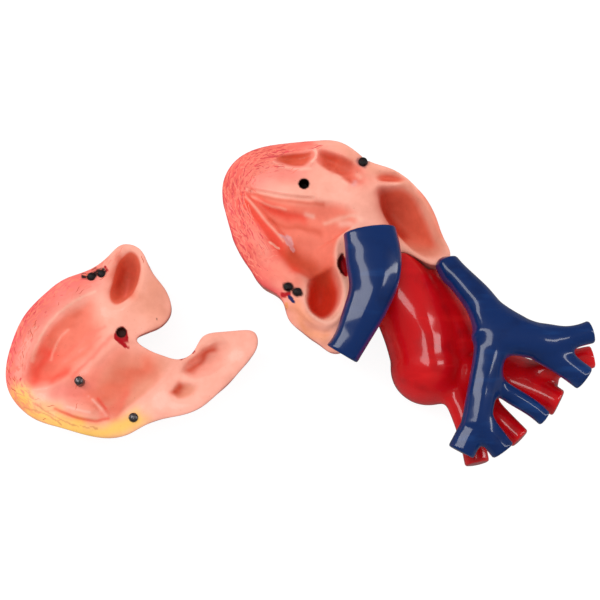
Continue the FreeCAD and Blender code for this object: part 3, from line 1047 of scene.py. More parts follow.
@dataclass
class Studio:
    """The pale floor, the lamps and the camera.

    Attributes:
        aim: The point that the camera and the lamps point at.
        elevation: The camera's height above the horizon, in degrees.
        frame_width: The width of the view at the aim.
        lens: The focal length.
        sensor: The sensor's width.
        sight_m: How far the camera sees.
        boxes: The softboxes.
        world_strength: The surround's strength.
        mirrored_strength: Its strength where it is mirrored.
        floor_reach: How far the floor reaches to each side.
        floor_tone: The floor's grey, in clouds.
        floor_roughness: The floor's roughness.
        floor_lift: What the floor adds to its own brightness where it is seen.
        floor_shade: The floor's grey as it lights the object.
    """

    aim: Triple = (0.39, -0.53, 34.0)
    elevation: float = 78.0
    frame_width: float = 300.0
    lens: float = 85.0
    sensor: float = 36.0
    sight_m: float = 20.0
    boxes: tuple[SoftBox, ...] = (
        SoftBox("left_softbox", -34.0, 16.0, (0.25, 1.6), 3.8),
        SoftBox("right_softbox", 65.0, 14.0, (0.12, 1.5), 5.0),
    )
    world_strength: float = 0.77
    mirrored_strength: float = 0.1
    floor_reach: float = 4000.0
    floor_tone: Clouds = Clouds(3.0, 2.0, (0.3, 0.7), (0.93, 0.95))
    floor_roughness: float = 0.9
    floor_lift: float = 0.9
    floor_shade: float = 0.16

    def build(self) -> None:
        """Make everything that isn't part of the object."""
        self.floor()
        for box in self.boxes:
            self.lamp(box)
        self.world()
        self.camera()

    def floor(self) -> None:
        """A wide pale floor at the table's height."""
        reach = self.floor_reach
        corners = [(-reach, -reach, 0), (reach, -reach, 0), (reach, reach, 0), (-reach, reach, 0)]
        floor = new_piece("floor", np.array(corners), [(0, 1, 2, 3)])
        sheet = NodeSheet("pale_floor")
        tone = sheet.clouds(self.floor_tone)
        grey = sheet.vector(tone, tone, tone)
        rays = sheet.add("ShaderNodeLightPath")
        mirrored = rays["Is Glossy Ray"]
        seen = sheet.math("MAXIMUM", rays["Is Camera Ray"], rays["Is Transmission Ray"])
        lift = sheet.math("MULTIPLY", seen, self.floor_lift)
        faint = sheet.mix(sheet.math("MAXIMUM", seen, mirrored), grey, (self.floor_shade,) * 3)
        floor.data.materials.append(sheet.finish(
            Base_Color=faint, Roughness=self.floor_roughness, Emission_Color=WHITE,
            Emission_Strength=lift))

    def lamp(self, box: SoftBox) -> None:
        """Hang one softbox."""
        light = bpy.data.lights.new(box.name, "AREA")
        light.shape = "RECTANGLE"
        light.size, light.size_y = box.size_m
        light.energy = box.radiance * math.pi * box.size_m[0] * box.size_m[1]
        lamp = linked(box.name, light)
        away = Vector((math.tan(math.radians(box.lean)), math.tan(math.radians(box.back)), 1.0))
        lamp.location = Vector(self.aim) * METRES + away.normalized() * box.distance_m
        lamp.rotation_euler = away.to_track_quat("Z", "Y").to_euler()

    def world(self) -> None:
        """A plain white surround."""
        world = bpy.data.worlds.new("plain_surround")
        world.use_nodes = True
        plan = NodePlan(world.node_tree)
        mirrored = plan.add("ShaderNodeLightPath")["Is Glossy Ray"]
        strength = plan.add("ShaderNodeMapRange", {"Value": mirrored, "To Min": self.world_strength,
                                                   "To Max": self.mirrored_strength})["Result"]
        plan.feed(world.node_tree.nodes["Background"], {"Color": WHITE, "Strength": strength})
        bpy.context.scene.world = world

    def camera(self) -> None:
        """The camera, almost straight above."""
        data = bpy.data.cameras.new("camera")
        data.lens = self.lens
        data.sensor_width = self.sensor
        data.clip_end = self.sight_m
        camera = linked("camera", data)
        distance = self.frame_width / 2 * self.lens / (self.sensor / 2) * METRES
        angle = math.radians(self.elevation)
        away = Vector((0.0, -math.cos(angle), math.sin(angle)))
        camera.location = Vector(self.aim) * METRES + away * distance
        camera.rotation_euler = away.to_track_quat("Z", "Y").to_euler()
        bpy.context.scene.camera = camera
        bpy.context.scene.view_settings.view_transform = "Standard"


# ---------------------------------------------------------------- the two castings


def back_casting() -> Casting:
    """The back half: both ventricles' hollows, the left atrium and the right atrium."""
    _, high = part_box("back_casting")
    face = high.z / METRES
    left_ventricle = Basin(
        deepest=(5.0, 25.0), depth=10.5, fullness=1.8, paint=Paint.SALMON, full=0.35,
        rim=((-28.5, 56.5), (-24, 56), (-18, 55), (-10, 53.6), (0, 52.2), (10.5, 51.8), (19, 51.5),
             (24, 50.2), (28, 48), (31, 44.5), (31, 40), (27, 36.5), (22.5, 33), (19.8, 28),
             (18.8, 22), (19, 16), (15, 9), (9, 7), (3, 9.5), (-1, 12), (-6, 15.2), (-8.5, 19),
             (-12, 24.5), (-16, 29.5), (-20, 35.5), (-24, 42), (-27.5, 49)))
    left_atrium = Basin(
        deepest=(10.0, 1.5), depth=20.0, fullness=2.0, paint=Paint.EMBER, full=0.6,
        rim=((4.2, 9), (3.4, 3), (3, -1.5), (5, -7), (9.5, -10.7), (13, -11.5), (17.5, -8.7), (21, -2.5),
             (22, 5), (20.7, 10.5), (18.8, 15.5), (16.5, 18), (12, 17), (7.5, 14.5)))
    infundibulum = Basin(
        deepest=(-2.0, 72.8), depth=4.4, fullness=2.2, paint=Paint.CLAY, full=0.7,
        rim=((-14.5, 72.3), (-12.5, 73.8), (-9.5, 74.4), (-5, 75), (0, 75.6), (5, 76.2), (8, 76.8),
             (8.8, 74.5), (7.2, 71.5), (4, 68.2), (0, 67.5), (-5, 68), (-10.5, 69.8), (-13.5, 71)))
    right_ventricle = Basin(
        deepest=(15.5, 73.0), depth=7.6, fullness=1.5, paint=Paint.CLAY, full=0.9,
        rim=((9, 77.6), (15, 76.8), (20.5, 75), (25.5, 72.7), (29, 70.4), (32.5, 67), (34.5, 63.5),
             (34.5, 58.5), (31, 55.8), (27.5, 57), (23.5, 59.8), (19, 61.8), (15, 64.5), (10.5, 67),
             (8, 70.5), (8.6, 74)))
    right_atrium = Basin(
        deepest=(48.5, 47.5), depth=20.0, fullness=1.8, paint=Paint.APRICOT, full=0.45,
        rim=((40.5, 57), (40, 52.5), (41, 46), (44.5, 39), (50.5, 31), (54.5, 26.5), (60.5, 21.8),
             (66.5, 19.6), (71.5, 20), (73, 23.5), (71, 29.5), (68.5, 36), (65.5, 43), (62.5, 50),
             (58, 56.5), (52, 59.6), (46, 59)))
    atrial_recess = Basin(
        deepest=(46.0, 62.8), depth=4.6, fullness=2.0, paint=Paint.CLAY, full=0.9,
        rim=((37, 64), (41, 65.8), (46, 66), (51.5, 65), (56, 61.8), (53.5, 60), (48, 60.2),
             (42, 60.4), (38.5, 61)))
    slot = Basin(deepest=(21.4, 17.0), depth=5.5, fullness=4.0, paint=Paint.SCARLET, full=0.3,
                 rim=((21.3, 23), (19.7, 19.5), (19.6, 16), (21, 12.5), (24, 10.2), (24.6, 15), (23.4, 20)))
    upper_edge = ((-28, 57), (-24, 56), (-18, 55), (-10, 53.5), (0, 52), (9.5, 51.5))
    relief = (
        Ridge(upper_edge, -2.6, 0.5, 2.6, 0.12),
        Ridge(((-28.3, 56.4), (-20.7, 55.2), (-12.2, 53.6), (-2, 52.9), (9.6, 51.8), (15, 51)),
              0.8, 1.6, 0.7, 0.2),
        Ridge(((-27.4, 55.6), (-22, 52), (-16.4, 48.8), (-7.2, 46.2), (2.9, 43.4)), 1.6, 1.6, 1.4, 0.3),
        Ridge(((-29, 54.5), (-24, 49.2), (-19.5, 44.5), (-15.5, 40.5), (-12, 36.5), (-8.3, 31.8),
               (-4.8, 26.5), (-2, 21)), 3.2, 1.6, 2.6, 0.18),
        Ridge(((-25, 46.5), (-19.8, 40), (-15.8, 34), (-11.5, 27.5), (-7.5, 20.5)), -1.0, 2.4, 1.2, 0.2),
        Ridge(((-20, 52), (-14.5, 47.5), (-9, 43.6), (-3, 41.5)), -0.9, 1.8, 2.6, 0.3),
        Ridge(((-9.5, 41), (-1, 40), (8, 38), (18, 34)), 0.7, 2.6, 2.4, 0.35),
        Ridge(((-4, 34.5), (3, 32.5), (11, 29.5), (17, 23)), 0.55, 2.4, 2.6, 0.4),
        Ridge(((-3, 27.5), (4, 23), (9, 17), (12, 10)), 0.5, 2.2, 2.4, 0.4),
        Ridge(((18.2, 38), (19, 30), (18.4, 22), (20.3, 13.5), (22.6, 5)), 0.6, 1.4, 1.2, 0.3),
        Swell((-7.8, 42.6), (1.6, 0.8), 0.5, -10), Swell((5, 44.6), (2.2, 1.4), 0.5, -10),
        Swell((24, 43), (4.0, 2.6), 0.8, -40), Swell((16.5, 36), (1.6, 1.3), 0.4),
        Ridge(((8.6, 78.4), (9, 75), (8.5, 72.5), (6.5, 70.3), (4.2, 67.6)), 1.8, 0.9, 0.9, 0.2),
        Ridge(((-14.5, 71.5), (-9, 68.2), (-1, 66.6), (5.5, 67)), 0.7, 0.8, 0.9, 0.2),
        Ridge(((8, 71.5), (9.4, 69), (12.5, 68.3), (15.6, 69.4), (16.2, 71.8)), 1.0, 0.9, 0.7, 0.25),
        Ridge(((21, 71), (26, 67), (30.5, 63), (32, 58)), -2.0, 2.6, 3.0, 0.25),
        Swell((12, 70.6), (1.5, 1.4), 0.8), Swell((18.4, 69.6), (1.0, 2.2), 0.9, -20),
        Swell((20.5, 72), (1.6, 1.0), 0.8, -30), Swell((23.5, 68.2), (1.7, 1.4), 1.3),
        Swell((25.5, 70.2), (1.4, 1.0), 0.8, -20), Swell((27.3, 65.6), (1.6, 1.5), 1.5),
        Swell((31, 63.2), (1.9, 2.3), 1.6), Swell((22.4, 64.8), (1.8, 1.3), 0.9, 20),
        Swell((28.8, 59.8), (1.2, 1.8), 1.0, 10), Swell((32.3, 58.4), (1.1, 1.6), 1.0, 20),
        Swell((17, 65.4), (2.0, 1.2), 0.7, -20), Swell((19.3, 66.4), (1.0, 0.8), -0.9),
        Swell((25.2, 62), (1.1, 1.0), -1.1), Swell((29.2, 62.8), (0.8, 0.8), -1.0),
        Swell((27.4, 57.8), (1.3, 1.0), -1.1, 30),
        Ridge(((33, 52.5), (36, 55.2), (38.4, 57.2), (41, 57.3)), 0.6, 0.8, 0.8, 0.3),
        Ridge(((35, 61.5), (37, 60), (39.5, 59), (42.5, 59.2)), 0.6, 0.8, 0.8, 0.3),
        Ridge(((36.5, 57), (40, 58.8), (45, 59.6), (50.5, 60.4), (56, 61)), 1.4, 1.6, 1.3, 0.25),
        Ridge(((1.5, -1), (1.8, -4.5), (3.4, -8.8), (7.2, -12.4), (12.4, -14), (17.5, -12.6),
               (21.6, -7.5), (23.6, 0.5), (23.8, 8)), 1.0, 1.0, 1.1, 0.2),
        Ridge(((-3, -3), (-1, -7), (2.5, -11.6), (7, -15.4), (12.5, -17.4), (18, -16)), -2.2, 1.0, 2.2, 0.2),
        Ridge(((-7.5, -2.5), (-6.5, -7.5), (-1, -14.5), (5, -19.5), (10.5, -24), (19, -27)), -4.2, 3.2, 9.0,
              0.15),
        Swell((9.5, 13.0), (6.5, 4.5), -3.0, 35), Swell((-12.0, 60.0), (14.0, 6.0), -0.5, 10),
        Swell((20.0, 57.2), (14.0, 2.6), 0.5, -18),
        Swell((40, 45), (2.0, 8.0), 0.5, 25), Swell((-20, 15), (7, 12), -0.6, -40),
    )
    pin_low, pin_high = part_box("locating_pin")
    play = 0.1
    # The socket's wall is painted ink-black, as painted shade.
    socket = Hole(centre=(2.39, 58.97), radius=(pin_high.x - pin_low.x) / METRES / 2 + play, depth=7.5,
                  paint=Paint.INK)
    return Casting(
        node="back_casting", body=Body.BACK, face=face, voxel=0.7,
        basins=(left_ventricle, left_atrium, infundibulum, right_ventricle, right_atrium,
                atrial_recess, slot),
        crease=1.2, relief=relief, holes=(socket,),
        soft_places=(Swell((66, 34), (7, 16), 0.9, 25), Swell((52, 57), (12, 4.5), 1.0, 5),
                     Swell((26, 60), (12, 3), 0.5, -25), Swell((27, 40), (5, 8), 0.9),
                     Swell((-5, 14), (9, 6), 0.7, -40), Swell((44, 33), (5, 12), 0.8, 40)))


def cover_casting() -> Casting:
    """The cover: the ventricle's front wall, the left auricle and the right atrium's front."""
    _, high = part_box("front_casting")
    face = high.z / METRES
    auricle = Basin(
        deepest=(-89.8, 15.5), depth=14.5, fullness=2.0, paint=Paint.TERRA, full=0.25,
        rim=((-96, 1), (-96.3, 4.5), (-95, 9.5), (-93.4, 16.5), (-91.5, 22), (-88, 26), (-85, 27),
             (-81.8, 24.5), (-80, 19), (-80.3, 14), (-81.8, 8), (-84.4, 3), (-89, -1), (-92.5, -2.4),
             (-94.8, -1.4)))
    ventricle = Basin(
        deepest=(-126.0, -25.0), depth=9.5, fullness=1.6, paint=Paint.SALMON, full=0.5,
        rim=((-101, 5), (-105.5, 3.2), (-110, 0.6), (-114.5, -2), (-119, -5.5), (-122.5, -9),
             (-125.7, -13), (-128.8, -17), (-131.8, -22), (-134.3, -26.5), (-136, -31),
             (-137, -36.5), (-136.8, -41.5), (-133, -44.5), (-126, -44.5), (-119, -42), (-112, -37.5),
             (-105, -31.5), (-98.5, -25.5), (-95, -19.5), (-95.5, -12.5), (-98, -6), (-98.5, 0)))
    appendage = Basin(
        deepest=(-50.0, -29.6), depth=8.5, fullness=1.8, paint=Paint.PEACH, full=0.8,
        rim=((-59.5, -36.5), (-58, -33), (-53, -28), (-46.5, -23), (-40, -19.8), (-34.5, -20.5),
             (-32.5, -24), (-34.5, -29.5), (-39.5, -35), (-46, -38.6), (-53, -39.6)))
    atrium = Basin(
        deepest=(-60.0, -45.3), depth=5.8, fullness=1.8, paint=Paint.SAND, full=0.8,
        rim=((-63.2, -45), (-62, -42), (-56, -41), (-50.5, -42), (-49.2, -45), (-53.5, -48.4),
             (-59.5, -50), (-62.5, -48)))
    groove = Basin(
        deepest=(-90.0, -50.5), depth=6.0, fullness=1.25, paint=Paint.SAND, full=0.6,
        rim=((-96.5, -58), (-101, -51), (-104, -43), (-102, -34.5), (-96.5, -26.5), (-88, -20.5),
             (-79, -19.5), (-68, -19), (-58.5, -24.5), (-60.5, -31), (-64.5, -37), (-69.5, -42.5),
             (-75.5, -48), (-82, -53), (-87.5, -57.5), (-92, -60.5)))
    teardrop = Basin(
        deepest=(-89.2, -17.5), depth=2.2, fullness=5.0, paint=Paint.SCARLET, full=0.3,
        rim=((-89.5, -12.3), (-92.1, -14.5), (-93.3, -17.5), (-92.2, -20), (-89, -22), (-85.4, -24.2),
             (-85.4, -20), (-86.4, -15), (-87.8, -12.9)))
    relief = (
        Ridge(((-102.5, 4.6), (-110, 1.2), (-116.8, -3.2), (-122.4, -8.8), (-126.7, -14.2), (-130.4, -22.2),
               (-133, -30), (-134.4, -37.6)), -1.2, 3.0, 0.5, 0.12),
        Ridge(((-128, -31), (-125.6, -25), (-123, -20.3), (-119.5, -16.5), (-115.5, -12.5)), 1.4, 1.2, 1.6,
              0.3),
        Ridge(((-121.5, -32), (-116.5, -27), (-111.5, -22.5), (-108, -19), (-105, -13)), 1.5, 2.2, 2.0, 0.35),
        Ridge(((-120, -35), (-114, -30.6), (-108, -27), (-103, -23), (-98, -18.5)), 1.2, 1.7, 1.3, 0.3),
        Ridge(((-116.5, -38), (-111, -34), (-104.5, -29), (-100.5, -25.5), (-95.5, -21.5)), -1.4, 0.8, 0.9,
              0.25),
        Ridge(((-113.5, -39), (-104.5, -31.8), (-98.5, -26.8), (-92, -21.5)), 0.6, 1.0, 2.6, 0.3),
        Ridge(((-135, -43), (-128, -43.6), (-121.5, -42), (-115, -37.8), (-111, -34.4)), 0.5, 1.0, 1.6, 0.3),
        Ridge(((-131, -41), (-124, -39.5), (-118.5, -36)), 0.5, 1.0, 1.0, 0.3),
        Ridge(((-132.5, -30), (-129, -22), (-124, -14.5), (-117, -8)), -0.7, 1.8, 2.2, 0.3),
        Ridge(((-118.5, -13), (-112.5, -9), (-106, -5)), 0.6, 1.6, 1.6, 0.35),
        Ridge(((-79, 22), (-79, 13), (-80.4, 6), (-83.8, 0.6), (-88.5, -3), (-93, -4.2), (-97, -2)), 0.7,
              1.6, 0.9, 0.3),
        Ridge(((-98.5, 22), (-98.5, 12), (-99, 5), (-97.5, -1)), 0.5, 2.2, 1.6, 0.3),
        Swell((-66.0, 0.5), (5.5, 9.0), -3.0, 15), Swell((-73.0, 12.5), (4.0, 7.0), -1.4, -35),
        Swell((-105.5, -54.4), (9.0, 3.2), 2.4, -9), Swell((-99.5, -55.2), (3.5, 2.4), 0.8, -40),
        Ridge(((-122, -54), (-118, -56.6), (-112.5, -58.8), (-105, -60.3), (-98.5, -60.8), (-94, -59)),
              -1.5, 0.7, 1.3, 0.2),
        Ridge(((-119.5, -54), (-112.5, -57), (-104.5, -58.9), (-98.5, -58.6)), 0.6, 0.9, 0.8, 0.25),
        Ridge(((-118, -49), (-109, -49.5), (-101, -50)), -0.7, 1.8, 1.4, 0.3),
        Ridge(((-101, -48.5), (-97, -52.5), (-94, -57), (-94, -60)), -1.4, 2.6, 0.8, 0.25),
        Ridge(((-91, -60), (-86.5, -56.9), (-81, -52.4), (-74.5, -47.8), (-68.5, -42), (-63.5, -36),
               (-59.5, -30), (-55.5, -25.5)), 0.45, 1.6, 2.2, 0.3),
        Ridge(((-63.5, -40.8), (-58, -39.8), (-53, -40.4), (-47.5, -40.6)), 0.5, 1.2, 1.2, 0.3),
        Ridge(((-56, -26.5), (-50, -22), (-44, -18.8), (-37, -17.6)), 0.4, 1.2, 1.0, 0.3),
        Swell((-38, -21), (10, 2), -0.4, 5),
    )
    return Casting(
        node="front_casting", body=Body.COVER, face=face, voxel=0.6,
        basins=(auricle, ventricle, appendage, atrium, groove, teardrop), crease=1.0, relief=relief,
        # The teardrop hole's wall is dark brown painted shade.
        holes=(Hole((-89.5, -15.6), 2.3, 5.0, Paint.UMBER_SHADE),), edge_roll=(1.0, 1.8),
        soft_places=(Swell((-101, -24), (9, 18), 0.95, -40), Swell((-102, 2), (11, 7), 0.95, -20),
                     Swell((-80, -30), (24, 12), 0.95, 20), Swell((-87, 25), (8, 5), 0.8),
                     Swell((-70, -42), (20, 5), 0.95, 42), Swell((-93, -40), (8, 14), 0.9, -30),
                     Swell((-52, -44), (10, 5), 0.9, 30), Swell((-37, -28), (6, 10), 0.9, -30)))


@dataclass
class CastingPaint:
    """The colours of one casting: its paint, with painted highlights and painted shade on its relief.

    Attributes:
        casting: The casting that it covers.
        rim: The colour along the muscle's outer edge.
        rim_width: How far that reaches from the edge.
        muscle: Where the rim is muscle, as swells of strength up to 1.
        broad: Strokes that lie under the basins' paint.
        fine: Strokes that lie over it, among them the painted highlights and painted shade.
        band: How wide the band of fibres is.
        fibres: Where there are fibres, as swells of strength up to 1.
        drift: How the edges of wide soft strokes stray.
        tremor: How those of narrow soft strokes do.
        narrow: The width below which a stroke is narrow.
        wobble: How the edges of crisp strokes stray.
        swirl: How far the fibres turn away from the rim's course, in radians.
        colours: The colours laid so far.
    """

    casting: Casting
    rim: Paint
    rim_width: float
    muscle: tuple[Swell, ...]
    broad: tuple[Patch, ...]
    fine: tuple[Patch, ...]
    band: float
    fibres: tuple[Swell, ...]
    drift: Sway = Sway(0.9, 9.0, 11)
    tremor: Sway = Sway(0.15, 6.0, 29)
    narrow: float = 1.5
    wobble: Sway = Sway(0.35, 3.1, 23)
    swirl: Sway = Sway(0.7, 26.0, 41)
    colours: Array = field(init=False, repr=False)

    def lay(self, paint: Paint, share: Array) -> None:
        """Lay one paint over what is there."""
        share = np.clip(share, 0.0, 1.0)[:, None]
        self.colours = self.colours * (1 - share) + np.array(linear(paint)) * share

    def apply(self, piece: bpy.types.Object) -> None:
        """Colour the piece's points and store where its fibres run."""
        points, normals = points_of(piece)
        x, y, z = points.astype(float).T
        edge, along, _ = nearest_on(self.casting.outline, x, y, closed=True)
        depth = self.casting.face - z
        level = fade(normals[:, 2], 0.0, 0.45)
        overhanging = 1 - fade(normals[:, 2], -0.5, 0.1)
        above_foot = fade(z - self.casting.face * 0.2, 0.0, 2.0)
        falls = [basin.fall(x, y) for basin in self.casting.basins]
        hollow = np.max(falls, axis=0)
        outside_hollows = fade(hollow, 1.0, 0.2)
        side = fade(edge, 12.0, 9.0) * fade(depth, 2.5, 5.0) * outside_hollows
        muscle = self.strength(self.muscle, x, y)
        drift = self.drift.at(x, y, z)
        tremor = self.tremor.at(x, y, z)
        wobble = self.wobble.at(x, y, z)
        self.colours = np.tile(linear(Paint.PEACH), (len(points), 1))
        for patch in self.broad:
            self.lay(patch.paint, patch.cover(x + drift, y + drift))
        rim = fade(edge, 1.6 * self.rim_width, 0.4 * self.rim_width)
        self.lay(self.rim, muscle * rim * above_foot)
        for basin, fall in zip(self.casting.basins, falls):
            reach = fade(fall, 0.4, basin.full * basin.depth) * fade(np.abs(edge), 0, 2)
            self.lay(basin.paint, reach * above_foot)
        # The outer wall's paint, greyed into painted shade, on steep faces near the outline and on every face
        # that hangs over.
        self.lay(Paint.WALL_AND_SHADE, (1 - level) * fade(edge, 3.5, 1.5) * outside_hollows)
        self.lay(Paint.WALL_AND_SHADE, overhanging)
        self.lay(Paint.BERRY, 0.75 * muscle * fade(edge, 1.2, 0.4) * fade(depth, 9.0, 3.0))
        for patch in self.fine:
            shift = wobble if patch.crisp else tremor if patch.width < self.narrow else drift
            self.lay(patch.paint, patch.cover(x + shift, y - shift) * above_foot * (1 - side))
        # The holes' walls take their dark paint: painted shade inside them.
        for hole in self.casting.holes:
            reach = np.hypot(x - hole.centre[0], y - hole.centre[1])
            self.lay(hole.paint, fade(reach, hole.radius + 0.75, hole.radius + 0.15) * above_foot)
        store(piece, "paint", "FLOAT_COLOR", self.colours)
        bare = fade(depth, 6.0, 2.0) * level * fade(hollow, 1.6, 0.4)
        self.store_fibres(piece, x, y, edge, along, bare)

    @staticmethod
    def strength(zones: Sequence[Swell], x: Array, y: Array) -> Array:
        """How strongly any of some zones holds at each place."""
        return np.max([np.zeros(len(x))] + [zone.lift(x, y) for zone in zones], axis=0)

    def store_fibres(self, piece: bpy.types.Object, x: Array, y: Array, edge: Array, along: Array,
                     bare: Array) -> None:
        """Store the fibres' course and how many there are, for the strokes and the paint.

        Args:
            piece: The painted piece.
            x: Its points' x.
            y: Its points' y.
            edge: Their distances from the outline.
            along: Their distances along the outline.
            bare: How much of each place can carry fibres, up to 1.
        """
        fibres = np.clip(self.strength(self.fibres, x, y), 0, 1)
        amount = fibres * fade(edge, self.band, self.band * 0.6) * bare
        store(piece, "fibre", "FLOAT_VECTOR", np.column_stack([along, edge, amount]))
        outline = self.casting.outline
        steps = np.roll(outline, -2, axis=0) - outline
        place = along.astype(int) % len(outline)
        course = steps[place] / np.linalg.norm(steps[place], axis=1)[:, None]
        level = np.zeros(len(x))
        turn = self.swirl.at(x, y, level) * fade(edge, 3.0, 12.0)
        flow_x = course[:, 0] * np.cos(turn) - course[:, 1] * np.sin(turn)
        flow_y = course[:, 0] * np.sin(turn) + course[:, 1] * np.cos(turn)
        store(piece, "flow", "FLOAT_VECTOR", np.column_stack([flow_x, flow_y, level]))
        store(piece, "stroke", "FLOAT", amount * fade(edge, 0.8, 2.0))


class NodeRecipe(NodePlan):
    """A geometry node tree."""

    def __init__(self, name: str, inputs: dict[str, str]) -> None:
        """Start a tree.

        Args:
            name: Its name.
            inputs: Its inputs' names and socket types.
        """
        super().__init__(bpy.data.node_groups.new(name, "GeometryNodeTree"))
        sockets = self.tree.interface
        sockets.new_socket("Geometry", in_out="INPUT", socket_type="NodeSocketGeometry")
        self.keys = {}
        for label, kind in inputs.items():
            socket = sockets.new_socket(label, in_out="INPUT", socket_type=kind)
            self.keys[label] = socket.identifier
        sockets.new_socket("Geometry", in_out="OUTPUT", socket_type="NodeSocketGeometry")
        self.start = self.add("NodeGroupInput")
        self.end = self.tree.nodes.new("NodeGroupOutput")

    def vector_math(self, operation: str, **inputs: object) -> bpy.types.NodeSocket:
        """Combine vectors; a scale is given as a number or a socket."""
        named = {{"first": 0, "second": 1, "scale": 3}[key]: value for key, value in inputs.items()}
        return self.add("ShaderNodeVectorMath", named, operation=operation)[0]

    def bake(self, source: bpy.types.Object, name: str, values: dict[str, object]) -> bpy.types.Object:
        """Run the tree on an object and keep its result as a plain mesh.

        Args:
            source: The object that it starts from.
            name: The new object's name.
            values: The inputs' values by name.

        Returns:
            A new object with the evaluated mesh.
        """
        modifier = source.modifiers.new(name, "NODES")
        modifier.node_group = self.tree
        for label, value in values.items():
            modifier[self.keys[label]] = value
        scene = bpy.context.evaluated_depsgraph_get()
        mesh = bpy.data.meshes.new_from_object(source.evaluated_get(scene), depsgraph=scene)
        source.modifiers.remove(modifier)
        return linked(name, mesh)


def stroke_recipe() -> NodeRecipe:
    """Raised brush strokes that lie along a surface's flow and hug it."""
    stray_share = 0.35
    smallest, largest = (0.5, 0.7, 1.0), (1.5, 1.25, 1.0)
    rows, columns = 11, 3
    blunt = 1.02
    bends, bend_share = 3.0, 0.09
    sunk = 0.25
    recipe = NodeRecipe("fibre_strokes", {
        "Density": "NodeSocketFloat", "Length": "NodeSocketFloat", "Width": "NodeSocketFloat",
        "Height": "NodeSocketFloat", "Seed": "NodeSocketInt", "Material": "NodeSocketMaterial"})
    surface, seed = recipe.start["Geometry"], recipe.start["Seed"]
    amount = recipe.add("GeometryNodeInputNamedAttribute", {"Name": "stroke"}, data_type="FLOAT")[0]
    density = recipe.math("MULTIPLY", amount, recipe.start["Density"])
    spots = recipe.add("GeometryNodeDistributePointsOnFaces",
                       {"Mesh": surface, "Density": density, "Seed": seed})
    tone = recipe.add("FunctionNodeRandomValue", {"Seed": seed}, data_type="FLOAT")[1]
    toned = recipe.add("GeometryNodeStoreNamedAttribute",
                       {"Geometry": spots["Points"], "Name": "tone", "Value": tone}, data_type="FLOAT")[0]
    flow = recipe.add("GeometryNodeInputNamedAttribute", {"Name": "flow"}, data_type="FLOAT_VECTOR")[0]
    stray = recipe.add("FunctionNodeRandomValue",
                       {0: (-stray_share, -stray_share, 0.0), 1: (stray_share, stray_share, 0.0),
                        "Seed": seed}, data_type="FLOAT_VECTOR")[0]
    course = recipe.vector_math("ADD", first=flow, second=stray)
    turn = recipe.add("FunctionNodeAxesToRotation",
                      {"Primary Axis": spots["Normal"], "Secondary Axis": course},
                      primary_axis="Z", secondary_axis="X")[0]
    scale = recipe.add("FunctionNodeRandomValue", {0: smallest, 1: largest, "Seed": seed},
                       data_type="FLOAT_VECTOR")[0]
    length, width = recipe.start["Length"], recipe.start["Width"]
    leaf = recipe.add("GeometryNodeMeshGrid",
                      {"Size X": length, "Size Y": width, "Vertices X": rows, "Vertices Y": columns})[0]
    parts = recipe.add("ShaderNodeSeparateXYZ", {0: recipe.add("GeometryNodeInputPosition")[0]})
    run = recipe.math("DIVIDE", recipe.math("MULTIPLY", parts[0], 2.0), length)
    taper = recipe.math("SQRT", recipe.math("SUBTRACT", blunt, recipe.math("MULTIPLY", run, run)))
    across = recipe.math("DIVIDE", recipe.math("MULTIPLY", parts[1], 2.0), width)
    crown = recipe.math("SUBTRACT", 1.0, recipe.math("MULTIPLY", across, across))
    rise = recipe.math("MULTIPLY", crown, taper)
    leaf = recipe.add("GeometryNodeStoreNamedAttribute", {"Geometry": leaf, "Name": "rise", "Value": rise},
                      data_type="FLOAT")[0]
    wave = recipe.math("MULTIPLY", recipe.math("SINE", recipe.math("MULTIPLY", run, bends)),
                       recipe.math("MULTIPLY", length, bend_share))
    bent = recipe.math("ADD", recipe.math("MULTIPLY", parts[1], taper), wave)
    place = recipe.vector(parts[0], bent, 0.0)
    leaf = recipe.add("GeometryNodeSetPosition", {"Geometry": leaf, "Position": place})[0]
    leaves = recipe.add("GeometryNodeInstanceOnPoints",
                        {"Points": toned, "Instance": leaf, "Rotation": turn, "Scale": scale})[0]
    strokes = recipe.add("GeometryNodeRealizeInstances", {"Geometry": leaves})[0]
    near = recipe.add("GeometryNodeProximity", {"Geometry": surface}, target_element="FACES")["Position"]
    normal = recipe.add("GeometryNodeInputNormal")["Normal"]
    facing = recipe.add("GeometryNodeSampleNearestSurface", {"Mesh": surface, "Value": normal},
                        data_type="FLOAT_VECTOR")[0]
    stored = recipe.add("GeometryNodeInputNamedAttribute", {"Name": "rise"}, data_type="FLOAT")[0]
    raised = recipe.math("SUBTRACT", recipe.math("MULTIPLY", stored, recipe.start["Height"]),
                         recipe.math("MULTIPLY", recipe.start["Height"], sunk))
    offset = recipe.vector_math("SCALE", first=facing, scale=raised)
    strokes = recipe.add("GeometryNodeSetPosition",
                         {"Geometry": strokes, "Position": near, "Offset": offset})[0]
    strokes = recipe.add("GeometryNodeSetShadeSmooth", {"Geometry": strokes})[0]
    strokes = recipe.add("GeometryNodeSetMaterial",
                         {"Geometry": strokes, "Material": recipe.start["Material"]})[0]
    recipe.feed(recipe.end, {0: strokes})
    return recipe


